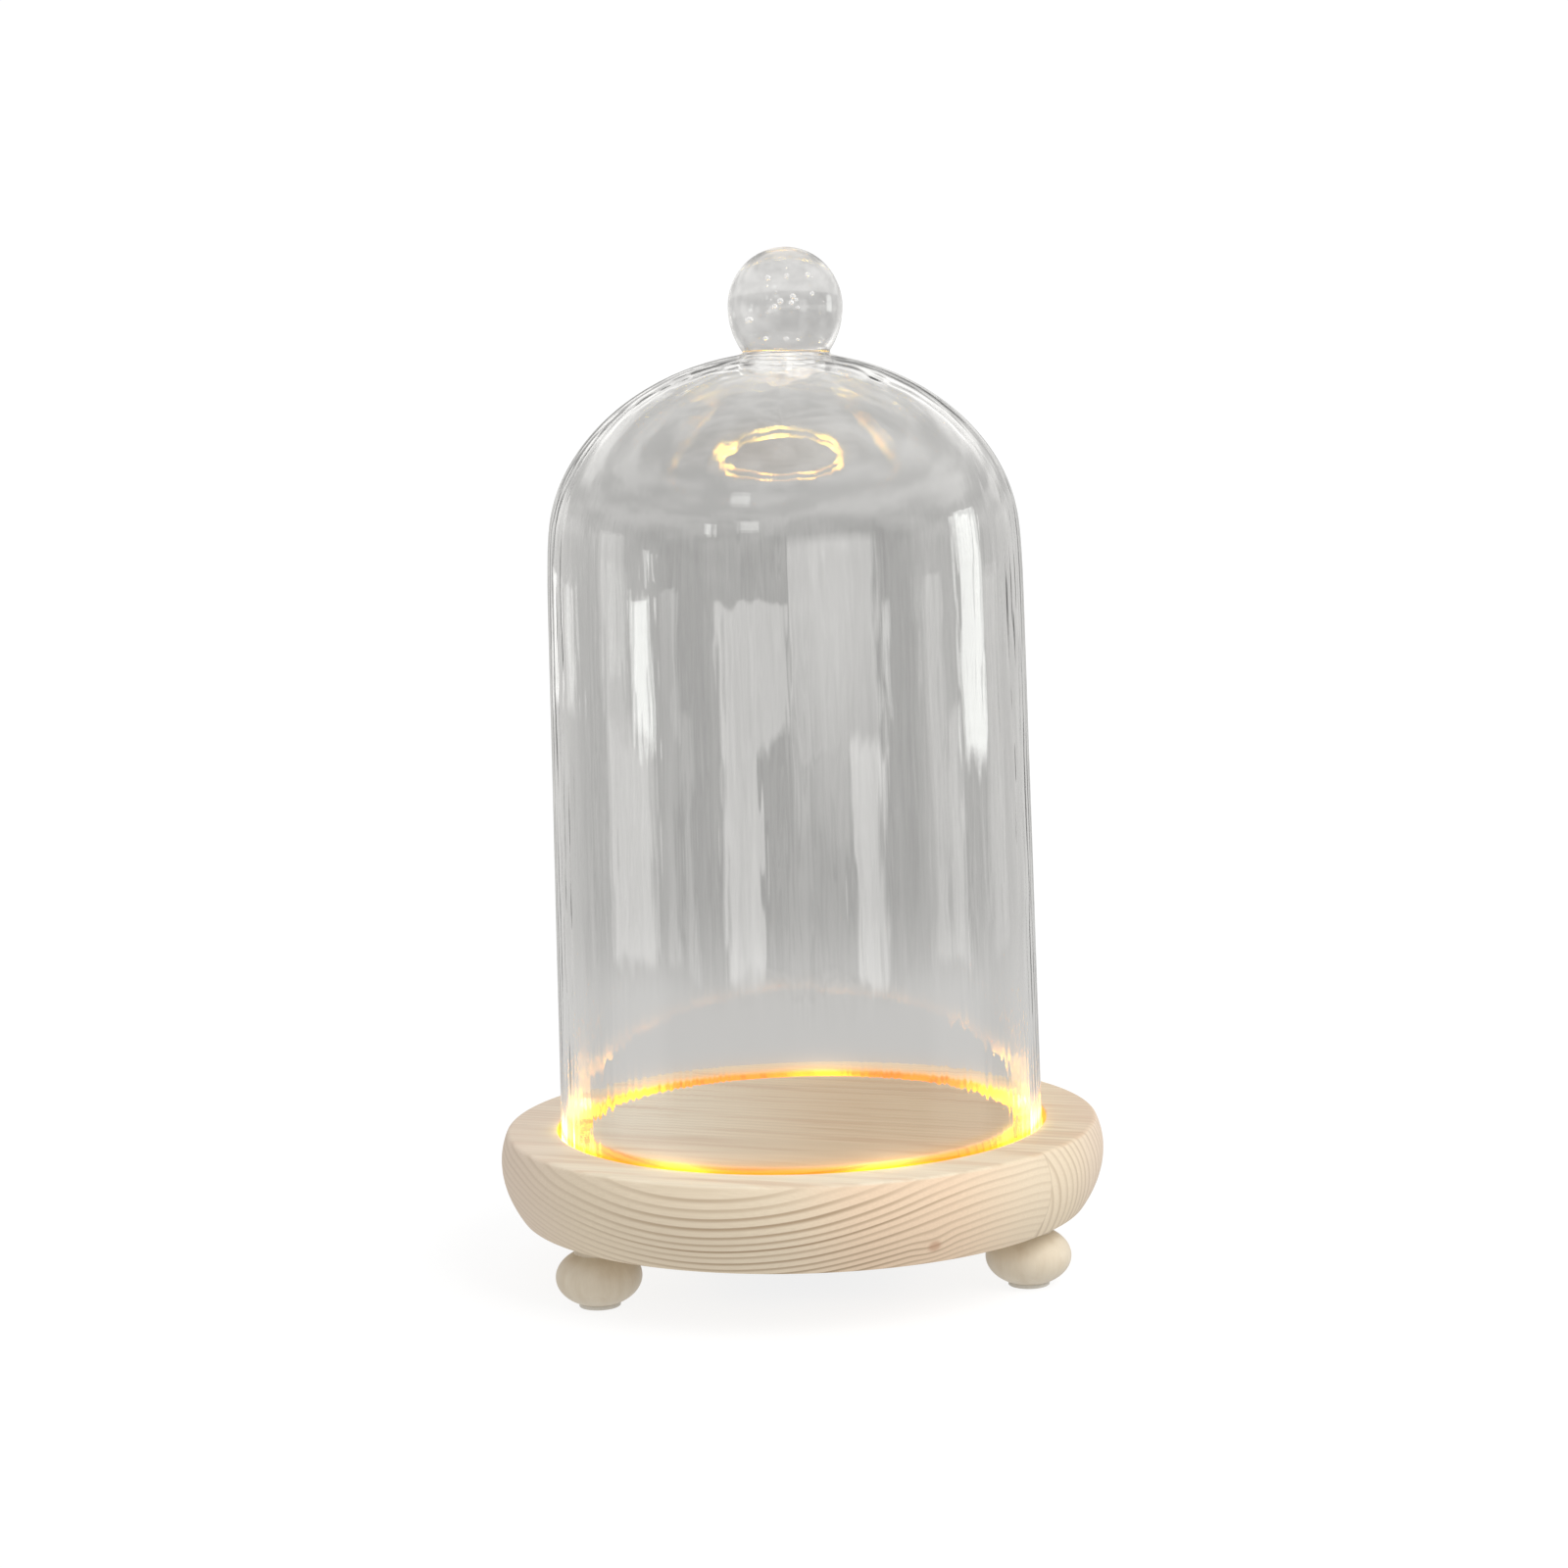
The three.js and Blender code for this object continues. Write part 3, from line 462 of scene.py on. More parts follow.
def glass():
    """Clear blown glass. The index is a choice for looks: high in the near wall, for clear reflections, and
    low in the far wall, so that its own reflections don't cover them."""
    made, nodes = material("clear_glass")
    made.cycles.emission_sampling = "NONE"
    x, y, z = nodes.place()
    near_index, far_index = 1.7, 1.22
    below_cap = 1 - nodes.step(z, SHOULDER / MM + 10, SHOULDER / MM + 26)
    far_wall = nodes.step(nodes.path("Transmission Depth"), 1.2, 1.8) * below_cap
    foot, amber, foot_glow = foot_light(nodes, x, y)
    in_knob, knob_glow = knob_light(nodes, x, y, z)
    grazing = nodes.num(nodes.node("LayerWeight", {"Blend": 0.5}).outputs["Facing"])
    # Painted amber light: the foot's tint turns orange and it glows, as if catching the beads' light.
    wall = nodes.principled(
        Base_Color=nodes.mix(foot * 0.85, (0.985, 0.985, 0.98), (1.0, 0.55, 0.10)),
        Roughness=0.1 * in_knob,
        IOR=near_index - (near_index - far_index) * far_wall,
        Transmission_Weight=1.0,
        Normal=nodes.bump(blown_surface(nodes, x, y, z), 0.2 * MM, 1 - grazing),
        Emission_Color=nodes.mix(in_knob, nodes.mix(foot, (1.0, 0.74, 0.55), amber), (1, 0.99, 0.97)),
        Emission_Strength=foot_glow + knob_glow,
    )
    lets_light_by(nodes, wall, (0.93, 0.93, 0.93))
    return made


def bubble():
    """Air inside the glass: the same surface seen from the other side, with a faint white glow as a painted
    glint.
    """
    made, nodes = material("bubble_air")
    glass_index = 1.48
    air = nodes.principled(
        Base_Color=(0.95, 0.95, 0.95),
        Roughness=0.05,
        IOR=1 / glass_index,
        Transmission_Weight=1.0,
        # Painted glint: a faint white glow.
        Emission_Color=(1, 1, 0.98),
        Emission_Strength=0.08,
    )
    lets_light_by(nodes, air)
    return made


def resin():
    """A bead's resin, lit from inside."""
    made, nodes = material("lit_resin")
    made.cycles.emission_sampling = "NONE"
    mirrored = in_mirror(nodes)
    edge = nodes.num(nodes.node("LayerWeight", {"Blend": 0.35}).outputs["Facing"])
    colour = nodes.mix(edge, (1.0, 0.74, 0.12), (1.0, 0.42, 0.03))
    colour = nodes.mix(mirrored, colour, (1.0, 0.74, 0.32))
    nodes.output(
        nodes.principled(
            Base_Color=(1.0, 0.62, 0.2),
            Roughness=0.12,
            Emission_Color=colour,
            Emission_Strength=1.2 + 100 * mirrored,
        )
    )
    return made


def metal(name, colour, roughness, fineness):
    """Bare metal with small marks."""
    made, nodes = material(name)
    x, y, z = nodes.place()
    marks = nodes.noise(nodes.vector(x * fineness, y * fineness, z * fineness), detail=3)
    dull = tuple(0.7 * part for part in colour)
    nodes.output(
        nodes.principled(
            Base_Color=nodes.mix(marks, colour, dull),
            Metallic=1.0,
            Roughness=roughness + 0.25 * (marks - 0.5),
            Normal=nodes.bump(marks, 0.01 * MM, 0.4),
        )
    )
    return made


def plastic(name, colour, roughness, grain=0.35):
    """Moulded plastic with a fine even texture and a little unevenness of tone."""
    made, nodes = material(name)
    x, y, z = nodes.place()
    spark = nodes.noise(nodes.vector(x / grain, y / grain, z / grain), detail=2)
    tone = nodes.noise(nodes.vector(x / 12, y / 12, z / 12), detail=2)
    lighter = tuple(min(1.0, 1.5 * part + 0.01) for part in colour)
    nodes.output(
        nodes.principled(
            Base_Color=nodes.mix(tone * 0.5, colour, lighter),
            Roughness=roughness + 0.2 * (spark - 0.5),
            Normal=nodes.bump(spark, 0.02 * MM, 0.5),
        )
    )
    return made


def felt():
    made, nodes = material("wool_felt")
    x, y, z = nodes.place()
    fluff = nodes.noise(nodes.vector(x / 0.5, y / 0.5, z / 0.5), detail=5, roughness=0.7)
    nodes.output(
        nodes.principled(
            Base_Color=nodes.mix(fluff, (0.52, 0.48, 0.41), (0.74, 0.70, 0.62)),
            Roughness=0.95,
            Sheen_Weight=0.5,
            Normal=nodes.bump(fluff, 0.2 * MM, 0.8),
        )
    )
    return made


def cell_wrap(cell):
    """A plain printed film round the can, with bare metal at both ends."""
    made, nodes = material("wrap_" + cell)
    low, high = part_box(cell)
    x, y, z = nodes.place()
    front, back = low.y / MM, high.y / MM
    film = nodes.band(y, front + 1.2, back - 2.4, 0.15)
    band = nodes.band(y, back - 13, back - 10.5, 0.1)
    scuffs = nodes.noise(nodes.vector(x * 2, y / 2, z * 2), detail=3)
    printed = nodes.mix(band, (0.03, 0.14, 0.075), (0.62, 0.55, 0.36))
    printed = nodes.mix(scuffs * 0.2, printed, (0.2, 0.3, 0.24))
    nodes.output(
        nodes.principled(
            Base_Color=nodes.mix(film, (0.62, 0.62, 0.64), printed),
            Metallic=1 - film,
            Roughness=0.22 + 0.2 * scuffs,
            Coat_Weight=0.4 * film,
        )
    )
    return made


def banded_resistor():
    made, nodes = material("banded_resistor")
    x, y, z = nodes.place()
    centre = middle("series_resistor") / MM
    off_axis = ((y - centre.y) ** 2 + (z - centre.z) ** 2) ** 0.5
    body = nodes.step(off_axis, 0.4, 0.6)
    red, violet, brown = (0.45, 0.03, 0.02), (0.35, 0.03, 0.3), (0.12, 0.05, 0.02)
    band_width = 0.35
    colour = (0.70, 0.56, 0.36)
    for start, ink in ((-1.2, red), (-0.5, violet), (0.2, brown)):
        band = nodes.band(x, centre.x + start, centre.x + start + band_width, 0.05)
        colour = nodes.mix(band, colour, ink)
    nodes.output(
        nodes.principled(
            Base_Color=nodes.mix(body, (0.6, 0.6, 0.62), colour),
            Metallic=1 - body,
            Roughness=0.35 + 0.1 * nodes.noise(nodes.vector(x, y, z), 3.0),
        )
    )
    return made


# ---- Mesh helpers --------------------------------------------------------------------------------


def piece(name, mesh, body, finish, *stands_for, slot):
    """A visible piece of the object: named, finished, riding on its body."""
    made = bpy.data.objects.new(name, mesh)
    bpy.context.scene.collection.objects.link(made)
    mesh.materials.clear()
    mesh.materials.append(finish)
    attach(made, body)
    if stands_for:
        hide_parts(*stands_for)
    return made


def smooth(mesh, degrees=35):
    """Smooth shading, with edges sharper than the angle left crisp."""
    for face in mesh.polygons:
        face.use_smooth = True
    mesh.set_sharp_from_angle(angle=math.radians(degrees))
    return mesh


def mesh_of(name, vertices, faces):
    mesh = bpy.data.meshes.new(name)
    mesh.from_pydata(vertices, [], faces)
    tidy = bmesh.new()
    tidy.from_mesh(mesh)
    bmesh.ops.recalc_face_normals(tidy, faces=tidy.faces)
    tidy.to_mesh(mesh)
    tidy.free()
    return mesh


def true_round(radius, angle, z):
    return (radius * math.cos(angle), radius * math.sin(angle), z)


def turned(name, profile, segments, place=true_round):
    """A closed profile of (radius, z) turned about the Z axis. place says where each point lands."""
    on_axis = 1e-7
    vertices, rings = [], []
    for radius, z in profile:
        count = 1 if radius < on_axis else segments
        rings.append([len(vertices) + i for i in range(count)])
        vertices += [place(radius, 2 * math.pi * i / segments, z) for i in range(count)]
    faces = []
    ends_on_axis = len(rings[0]) == 1 and len(rings[-1]) == 1
    pairs = list(zip(rings, rings[1:])) + ([] if ends_on_axis else [(rings[-1], rings[0])])
    for low, high in pairs:
        for i in range(segments):
            j = (i + 1) % segments
            corners = [low[i % len(low)], low[j % len(low)], high[j % len(high)], high[i % len(high)]]
            face = list(dict.fromkeys(corners))
            if len(face) > 2:
                faces.append(face)
    return mesh_of(name, vertices, faces)


def arc(centre, radii, start, end, steps):
    """Points on an ellipse from one angle in degrees to another, as (radius, z)."""
    angles = [math.radians(start + (end - start) * i / steps) for i in range(steps + 1)]
    return [(centre[0] + radii[0] * math.cos(a), centre[1] + radii[1] * math.sin(a)) for a in angles]


def line(start, end, steps):
    """Points from start up to, but not including, end."""
    shares = [i / steps for i in range(steps)]
    return [tuple(a + (b - a) * s for a, b in zip(start, end)) for s in shares]


def rounded(corners, radius, steps=5):
    """A path through the corners. Each inner one is eased into a curve that starts radius away from it."""
    points = [corners[0]]
    for before, corner, after in zip(corners, corners[1:], corners[2:]):
        here = Vector(corner)
        back = (Vector(before) - here).normalized() * radius
        ahead = (Vector(after) - here).normalized() * radius
        shares = [k / steps for k in range(steps + 1)]
        points += [tuple(here + back * (1 - t) ** 2 + ahead * t**2) for t in shares]
    return [*points, corners[-1]]


def block(low, high):
    xs, ys, zs = zip(low, high)
    vertices = [(x, y, z) for x in xs for y in ys for z in zs]
    faces = [(0, 1, 3, 2), (4, 6, 7, 5), (0, 4, 5, 1), (2, 3, 7, 6), (0, 2, 6, 4), (1, 5, 7, 3)]
    return mesh_of("block", vertices, faces)


def rod(x, y, radius, low, high, segments=32):
    mesh = turned("rod", [(0, low), (radius, low), (radius, high), (0, high)], segments)
    mesh.transform(Matrix.Translation((x, y, 0)))
    return mesh


def cut(mesh, tools):
    """mesh with every tool's space taken out of it."""
    scene = bpy.context.scene.collection.objects
    body = bpy.data.objects.new("body", mesh)
    scene.link(body)
    cutters = [bpy.data.objects.new("cutter", tool) for tool in tools]
    for cutter in cutters:
        scene.link(cutter)
        take = body.modifiers.new("take", "BOOLEAN")
        take.operation = "DIFFERENCE"
        take.solver = "EXACT"
        take.object = cutter
    made = bpy.data.meshes.new_from_object(body.evaluated_get(bpy.context.evaluated_depsgraph_get()))
    for used in (body, *cutters):
        bpy.data.objects.remove(used)
    made.name = mesh.name
    return made


def tube(name, points, radius, sides):
    """A round bar swept through the points, with flat ends."""
    vertices, faces = [], []
    across = Vector((0, 0, 1))
    for i, point in enumerate(points):
        ahead = points[min(i + 1, len(points) - 1)] - points[max(i - 1, 0)]
        across = (across - ahead * across.dot(ahead) / ahead.length_squared).normalized()
        other = ahead.cross(across).normalized()
        for k in range(sides):
            angle = 2 * math.pi * k / sides
            vertices.append(point + radius * (math.cos(angle) * across + math.sin(angle) * other))
    for i in range(len(points) - 1):
        for k in range(sides):
            a, b = i * sides + k, i * sides + (k + 1) % sides
            faces.append((a, b, b + sides, a + sides))
    faces.append(tuple(range(sides)))
    faces.append(tuple(range(len(vertices) - sides, len(vertices))))
    return mesh_of(name, vertices, faces)


# ---- Wooden base ---------------------------------------------------------------------------------


def base_side():
    """The base's bulged side, from its bottom edge up to just under its top edge."""
    lower_steps, upper_steps = 26, 12
    widest = BASE_TOP - BULGE_DROP
    side = []
    for i in range(lower_steps + 1):
        share = 1 - i / lower_steps
        tuck = (BASE_RADIUS - BASE_BOTTOM_RADIUS) * share**2
        side.append((BASE_RADIUS - tuck, widest - (widest - BASE_BOTTOM) * share))
    for i in range(1, upper_steps - 1):
        share = i / upper_steps
        tuck = (BASE_RADIUS - BASE_TOP_RADIUS) * share**2
        side.append((BASE_RADIUS - tuck, widest + BULGE_DROP * share))
    return side


def base_profile():
    """Half the base's outline, from the middle of its underside round to the middle of its top."""
    side = base_side()
    bottom_edge = rounded([(0, BASE_BOTTOM), side[0], side[2]], 0.6 * MM)
    top_face = (GROOVE_OUTER + 5 * MM, BASE_TOP)
    top_edge = rounded([side[-1], (BASE_TOP_RADIUS, BASE_TOP), top_face], 1.0 * MM)
    groove = rounded(
        [
            top_face,
            (GROOVE_OUTER, BASE_TOP),
            (GROOVE_OUTER, GROOVE_FLOOR),
            (GROOVE_INNER, GROOVE_FLOOR),
            (GROOVE_INNER, BASE_TOP),
            (0, BASE_TOP),
        ],
        0.45 * MM,
    )
    return [*bottom_edge, *side[3:], *top_edge[1:-1], *groove]


def base_hollows():
    """The battery box's pocket, the wires' channel and hole, and the screws' pilot holes."""
    box_low, box_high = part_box("battery_box")
    play = 0.3 * MM
    under = BASE_BOTTOM - 1 * MM
    half_width, flange_reach = 18.5 * MM, 6 * MM
    pocket = block(
        (-half_width - play, box_low.y + flange_reach - play, under),
        (half_width + play, box_high.y - flange_reach + play, box_high.z + play),
    )
    half_channel, hole_radius = 2.5 * MM, 2.2 * MM
    channel_roof = middle("splice_sleeve").z + half_channel
    channel = block((0, -half_channel, under), (STRING_RADIUS + hole_radius, half_channel, channel_roof))
    channel.transform(Matrix.Rotation(WIRE_ANGLE, 4, "Z"))
    hole_x, hole_y, _ = true_round(STRING_RADIUS, WIRE_ANGLE, 0)
    hollows = [pocket, channel, rod(hole_x, hole_y, hole_radius, under, GROOVE_FLOOR + 1 * MM)]
    bores = {f"foot_screw_{name}": FOOT_SCREW_BORE for name in FEET}
    bores |= {"box_screw_1": BOX_SCREW_BORE, "box_screw_2": BOX_SCREW_BORE}
    for screw, bore in bores.items():
        spot = middle(screw)
        hollows.append(rod(spot.x, spot.y, bore, under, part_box(screw)[1].z + play, 16))
    return hollows


def wooden_base():
    disc = turned("pine_base", base_profile(), 240)
    mesh = smooth(cut(disc, base_hollows()), 30)
    piece("pine_base", mesh, "base", base_wood(), "wooden_base", slot="pine_wood")


# ---- Glass ---------------------------------------------------------------------------------------


def cap_z(radius, width=SHOULDER_RADIUS, height=CAP_HEIGHT):
    return SHOULDER + height * math.sqrt(max(0.0, 1 - (radius / width) ** 2))


def dome_profile():
    """The blown dome's closed outline: inside from the crown down, round the foot, then up the outside
    and round the knob, which is one piece with the crown."""
    inner_radius = SHOULDER_RADIUS - GLASS_WALL
    inner_height = CAP_HEIGHT - CROWN_THICKNESS
    lip = GLASS_WALL / 2
    lip_z = GLASS_FOOT + lip
    gather_angle = math.degrees(math.acos(GATHER.x / inner_radius))
    gather_z = cap_z(GATHER.x, inner_radius, inner_height)
    neck_angle, knob_start = 76.5, -40  # where the fillet round the knob leaves the cap and meets the knob
    steps = 44
    inside = arc((0, gather_z), GATHER, -90, 0, 12)[:-1]
    inside += arc((0, SHOULDER), (inner_radius, inner_height), gather_angle, 0, steps)
    inner_wall = line(inside[-1], (GLASS_FOOT_RADIUS - GLASS_WALL, lip_z), steps)[1:]
    rim = arc((GLASS_FOOT_RADIUS - lip, lip_z), (lip, lip), 180, 360, 10)
    outer_wall = line(rim[-1], (SHOULDER_RADIUS, SHOULDER), steps)[1:]
    cap = arc((0, SHOULDER), (SHOULDER_RADIUS, CAP_HEIGHT), 0, neck_angle, steps)
    knob = arc((0, KNOB_CENTRE), (KNOB_RADIUS, KNOB_LOWER), knob_start, 0, 14)
    knob += arc((0, KNOB_CENTRE), (KNOB_RADIUS, KNOB_UPPER), 0, 90, 26)[1:]
    corner_radius, fillet_steps = 10 * MM, 8
    start, corner, end = Vector(cap[-1]), Vector((corner_radius, cap_z(corner_radius))), Vector(knob[0])
    shares = [i / fillet_steps for i in range(1, fillet_steps)]
    fillet = [tuple(start * (1 - t) ** 2 + corner * 2 * t * (1 - t) + end * t**2) for t in shares]
    return [*inside, *inner_wall, *rim, *outer_wall, *cap, *fillet, *knob]


def ease(share):
    """A share kept between 0 and 1, with a smooth start and end."""
    share = min(1.0, max(0.0, share))
    return share * share * (3 - 2 * share)


def eased(profile):
    """The profile with its change of curvature at the shoulder spread out."""
    reach, passes = 20 * MM, 24
    points = [Vector(point) for point in profile]
    for _ in range(passes):
        middles = [a / 4 + b / 2 + c / 4 for a, b, c in zip(points, points[1:], points[2:])]
        points = [points[0], *middles, points[-1]]
    blended = []
    for before, after in zip(profile, points):
        share = ease(1 - abs(before[1] - SHOULDER) / reach)
        blended.append(tuple(Vector(before).lerp(after, share)))
    return blended


def blown(radius, angle, z):
    """Where a point of the dome's outline lands: the wall is a little uneven, and the knob stands off
    the axis, so the rings round its foot shift over the cap towards it."""
    depth, lumps_round, lump_height = 0.04 * MM, 2.6, 38 * MM
    calm_radius, calm_edge = 8 * MM, 20 * MM
    shift_from, shift_over = 26 * MM, 14 * MM
    inner = radius < SHOULDER_RADIUS and z < cap_z(radius) - 1 * MM
    other_face = 40 if inner else 0
    spot = Vector(true_round(lumps_round, angle, z / lump_height + other_face))
    off_crown = min(1.0, max(0.0, (radius - calm_radius) / calm_edge))
    uneven = depth * noise.noise(spot) * off_crown if z >= BASE_TOP else 0.0
    shift = 0.0
    if not inner and z > SHOULDER:
        shift = KNOB_X * (ease((shift_from - radius) / shift_over) if z < CROWN else 1.0)
    x = shift + (radius + uneven) * math.cos(angle)
    y = (radius + uneven) * math.sin(angle)
    if shift and z < CROWN:
        z += cap_z(math.hypot(x, y)) - cap_z(radius)
    return (x, y, z)


def glass_dome(finish):
    mesh = smooth(turned("blown_dome", eased(dome_profile()), 256, blown), 60)
    piece("blown_dome", mesh, "dome", finish, "glass_dome", "dome_knob", slot="clear_glass")


def seeds(finish):
    """The small bubbles in the knob's glass."""
    count, radii = 34, (0.1, 0.14, 0.2, 0.28, 0.42)
    farthest = KNOB_RADIUS - 3.5 * MM
    draw = random.Random(7)
    vertices, faces = [], []
    ball = bmesh.new()
    bmesh.ops.create_icosphere(ball, subdivisions=2, radius=1)
    ball_faces = [[v.index for v in face.verts] for face in ball.faces]
    ball_points = [v.co.copy() for v in ball.verts]
    ball.free()
    centre = Vector((KNOB_X, 0, KNOB_CENTRE))
    for _ in range(count):
        radius = draw.choice(radii) * MM
        reach = farthest * draw.random() ** 0.6
        away = Vector((draw.gauss(0, 1), draw.gauss(0, 1), draw.gauss(0, 0.8))).normalized() * reach
        start = len(vertices)
        vertices += [centre + away + radius * point for point in ball_points]
        faces += [[start + index for index in face] for face in ball_faces]
    mesh = smooth(mesh_of("knob_bubbles", vertices, faces), 80)
    piece("knob_bubbles", mesh, "dome", finish, slot="clear_glass")


# ---- Feet ----------------------------------------------------------------------------------------


def foot_profile(low, top, radius):
    """A bun, the cove between it and the base, and the screw's stepped bore."""
    centre_z, half_height, neck = 7.2 * MM, 7.1 * MM, 5.8 * MM
    sink, step = 3.1 * MM, 3.85 * MM
    flat = math.degrees(math.asin((low - centre_z) / half_height))
    neck_angle = math.degrees(math.acos(neck / radius))
    bun = arc((0, centre_z), (radius, half_height), flat, neck_angle, 28)
    cove_height = top - bun[-1][1]
    cove = arc((neck + cove_height, top - cove_height), (cove_height, cove_height), 180, 92, 10)[1:]
    return [*bun, *cove, (FOOT_SCREW_BORE, top), (FOOT_SCREW_BORE, step), (sink, step), (sink, low)]


def feet():
    wood = foot_wood()
    soft = felt()
    for name in FEET:
        low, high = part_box("foot_" + name)
        spot = (low + high) / 2
        to_place = Matrix.Translation((spot.x, spot.y, 0))
        bun = turned("bun_foot_" + name, foot_profile(low.z, high.z, (high.x - low.x) / 2), 96)
        bun.transform(to_place)
        piece("bun_foot_" + name, smooth(bun), "base", wood, "foot_" + name, slot="foot_wood")
        pad_low, pad_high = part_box("foot_pad_" + name)
        pad_radius = (pad_high.x - pad_low.x) / 2
        corners = [(0, pad_low.z), (pad_radius, pad_low.z), (pad_radius, pad_high.z), (0, pad_high.z)]
        outline = rounded(corners, 0.25 * MM)
        pad = turned("felt_pad_" + name, outline, 48)
        pad.transform(to_place)
        piece("felt_pad_" + name, smooth(pad), "base", soft, "foot_pad_" + name, slot="felt")


# ---- Light string --------------------------------------------------------------------------------


def string_path():
    """The light string's middle line: along the channel, up through the hole and round the groove."""

    def at(radius, degrees_off, z):
        return Vector(true_round(radius, WIRE_ANGLE + math.radians(degrees_off), z))

    channel_z = middle("splice_sleeve").z
    knots = [
        at(43 * MM, 0, channel_z),
        at(50 * MM, 0, channel_z),
        at(STRING_RADIUS - 0.8 * MM, 0, channel_z + 2 * MM),
        at(STRING_RADIUS, -0.2, GROOVE_FLOOR - 3 * MM),
        at(STRING_RADIUS, -1.8, STRING_Z - 0.8 * MM),
    ]
    path = []
    for knot, following in zip(knots, knots[1:]):
        path += [knot.lerp(following, share / 4) for share in range(4)]
    first, sweep, steps = -6, -346, 480
    path += [at(STRING_RADIUS, first + sweep * i / steps, STRING_Z) for i in range(steps + 1)]
    return path


def light_string():
    """Two thin enamelled wires, twisted loosely round each other."""
    copper = metal("enamelled_copper", (0.80, 0.43, 0.22), 0.28, 1.2)
    path = string_path()
    radius, off_middle, twist = 0.16 * MM, 0.2 * MM, 0.19
    up = Vector((0, 0, 1))
    for side in (0, 1):
        points = []
        for i, point in enumerate(path):
            turn = twist * i + side * math.pi
            outward = Vector((point.x, point.y, 0)).normalized()
            points.append(point + off_middle * (math.cos(turn) * outward + math.sin(turn) * up))
        mesh = smooth(tube(f"copper_wire_{side + 1}", points, radius, 8), 60)
        wire = piece(f"copper_wire_{side + 1}", mesh, "base", copper, slot="copper")
        if side == 0:
            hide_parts("light_string")


def beads():
    """Drops of resin, each drawn out at both ends round the wires. A drop stands for its chip too."""
    lit = resin()
    radius, half_length, tail = 1.55 * MM, 2.6 * MM, 0.5 * MM
    drop = arc((0, 0), (radius, half_length * 0.93), -72, 72, 20)
    outline = [(0, -half_length), (tail, -half_length), *drop, (tail, half_length), (0, half_length)]
    for name in BEADS:
        spot = middle(name)
        mesh = turned("resin_" + name, outline, 32)
        lie_down = Matrix.Rotation(math.radians(90), 4, "X")
        turn = Matrix.Rotation(math.atan2(spot.y, spot.x), 4, "Z")
        mesh.transform(Matrix.Translation((spot.x, spot.y, STRING_Z)) @ turn @ lie_down)
        chip = name.replace("bead", "chip")
        piece("resin_" + name, smooth(mesh, 50), "base", lit, name, chip, slot="amber_resin")


# ---- Under the base ------------------------------------------------------------------------------


def finish_cad_nodes():
    """Gives every CAD node that stays its material and smooth curves, and eases the mouldings' edges."""
    steel = metal("nickel_steel", (0.66, 0.66, 0.68), 0.28, 3.0)
    black = plastic("black_moulding", (0.022, 0.022, 0.025), 0.5)
    red = plastic("red_sleeving", (0.5, 0.03, 0.025), 0.35, grain=1.2)
    dark = plastic("black_sleeving", (0.02, 0.02, 0.022), 0.38, grain=1.2)
    steel_kinds = ("contact_", "foot_screw_", "box_screw_")
    finishes = {
        "battery_box": black,
        "battery_door": black,
        "switch_body": black,
        "switch_slider": plastic("slider_moulding", (0.05, 0.05, 0.055), 0.4),
        "series_resistor": banded_resistor(),
        "lead_red": red,
        "jumper_red": red,
        "lead_black": dark,
        "jumper_black": dark,
        "splice_sleeve": dark,
        **{name: steel for name in frame["nodes"] if name.startswith(steel_kinds)},
    }
    for name, finish in finishes.items():
        node = frame["nodes"][name]
        node.data.materials.clear()
        node.data.materials.append(finish)
        smooth(node.data, 40)
    for name in ("battery_box", "battery_door", "switch_body", "switch_slider"):
        bevel = frame["nodes"][name].modifiers.new("ease", "BEVEL")
        bevel.width = 0.15 * MM
        bevel.segments = 2
        bevel.limit_method = "ANGLE"
        bevel.angle_limit = math.radians(50)
        bevel.harden_normals = True


def cells():
    button, button_radius, edge = 1.2 * MM, 1.9 * MM, 0.5 * MM
    for name in CELLS:
        low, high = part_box(name)
        spot = (low + high) / 2
        radius = (high.x - low.x) / 2
        length = high.y - low.y
        can = length - button
        can_corners = [(0, 0), (radius, 0), (radius, can)]
        button_corners = [(button_radius, can), (button_radius, length), (0, length)]
        outline = rounded([*can_corners, *button_corners], edge, 4)
        mesh = turned("cell_" + name, outline, 64)
        to_back = Matrix.Rotation(math.radians(-90), 4, "X")
        points_back = name == CELLS[1]
        turn = Matrix.Identity(4) if points_back else Matrix.Rotation(math.pi, 4, "Z")
        start = low.y if points_back else high.y
        mesh.transform(Matrix.Translation((spot.x, start, spot.z)) @ turn @ to_back)
        piece("cell_" + name, smooth(mesh), "base", cell_wrap(name), name, slot="cell_wrap")


# ---- Studio --------------------------------------------------------------------------------------

# The cards of the mirrored room: from and to in azimuth and in elevation, in degrees, and strength.
# Azimuth 0 is towards the front (-Y) and 90 is to the right (+X).
TABLE_EDGE = -8.3
PALE_PANELS = (
    ((-97, -70), (TABLE_EDGE, -3.6), 1.1),
    ((-101, -84), (-3.6, 9), 0.7),
    ((-61, -56), (TABLE_EDGE, 0.5), 0.65),
    ((-52, -47), (TABLE_EDGE, -3.0), 0.6),
    ((70, 78), (TABLE_EDGE, 0.9), 0.75),
    ((80, 90), (TABLE_EDGE, -3.4), 0.75),
    ((108, 122), (TABLE_EDGE, 0.5), 0.4),
)
WINDOWS = (
    ((-79, -69), (-3.7, -0.4), 1.1),
    ((92, 107), (-4.4, 13), 0.9),
    ((-152, -145), (-3.7, -0.4), 0.25),
    ((-132, -122), (-3.7, -0.4), 0.25),
    ((-56.5, -54), (-3.4, 0.6), 0.4),
    ((46, 48.5), (-3.2, -0.6), 0.6),
    ((-72, -68), (1, 5), 0.8),
    ((-39, -35), (11, 17), 0.8),
    ((-22, -13), (13, 19), 0.45),
    ((-29, -19), (30, 38), 0.45),
)


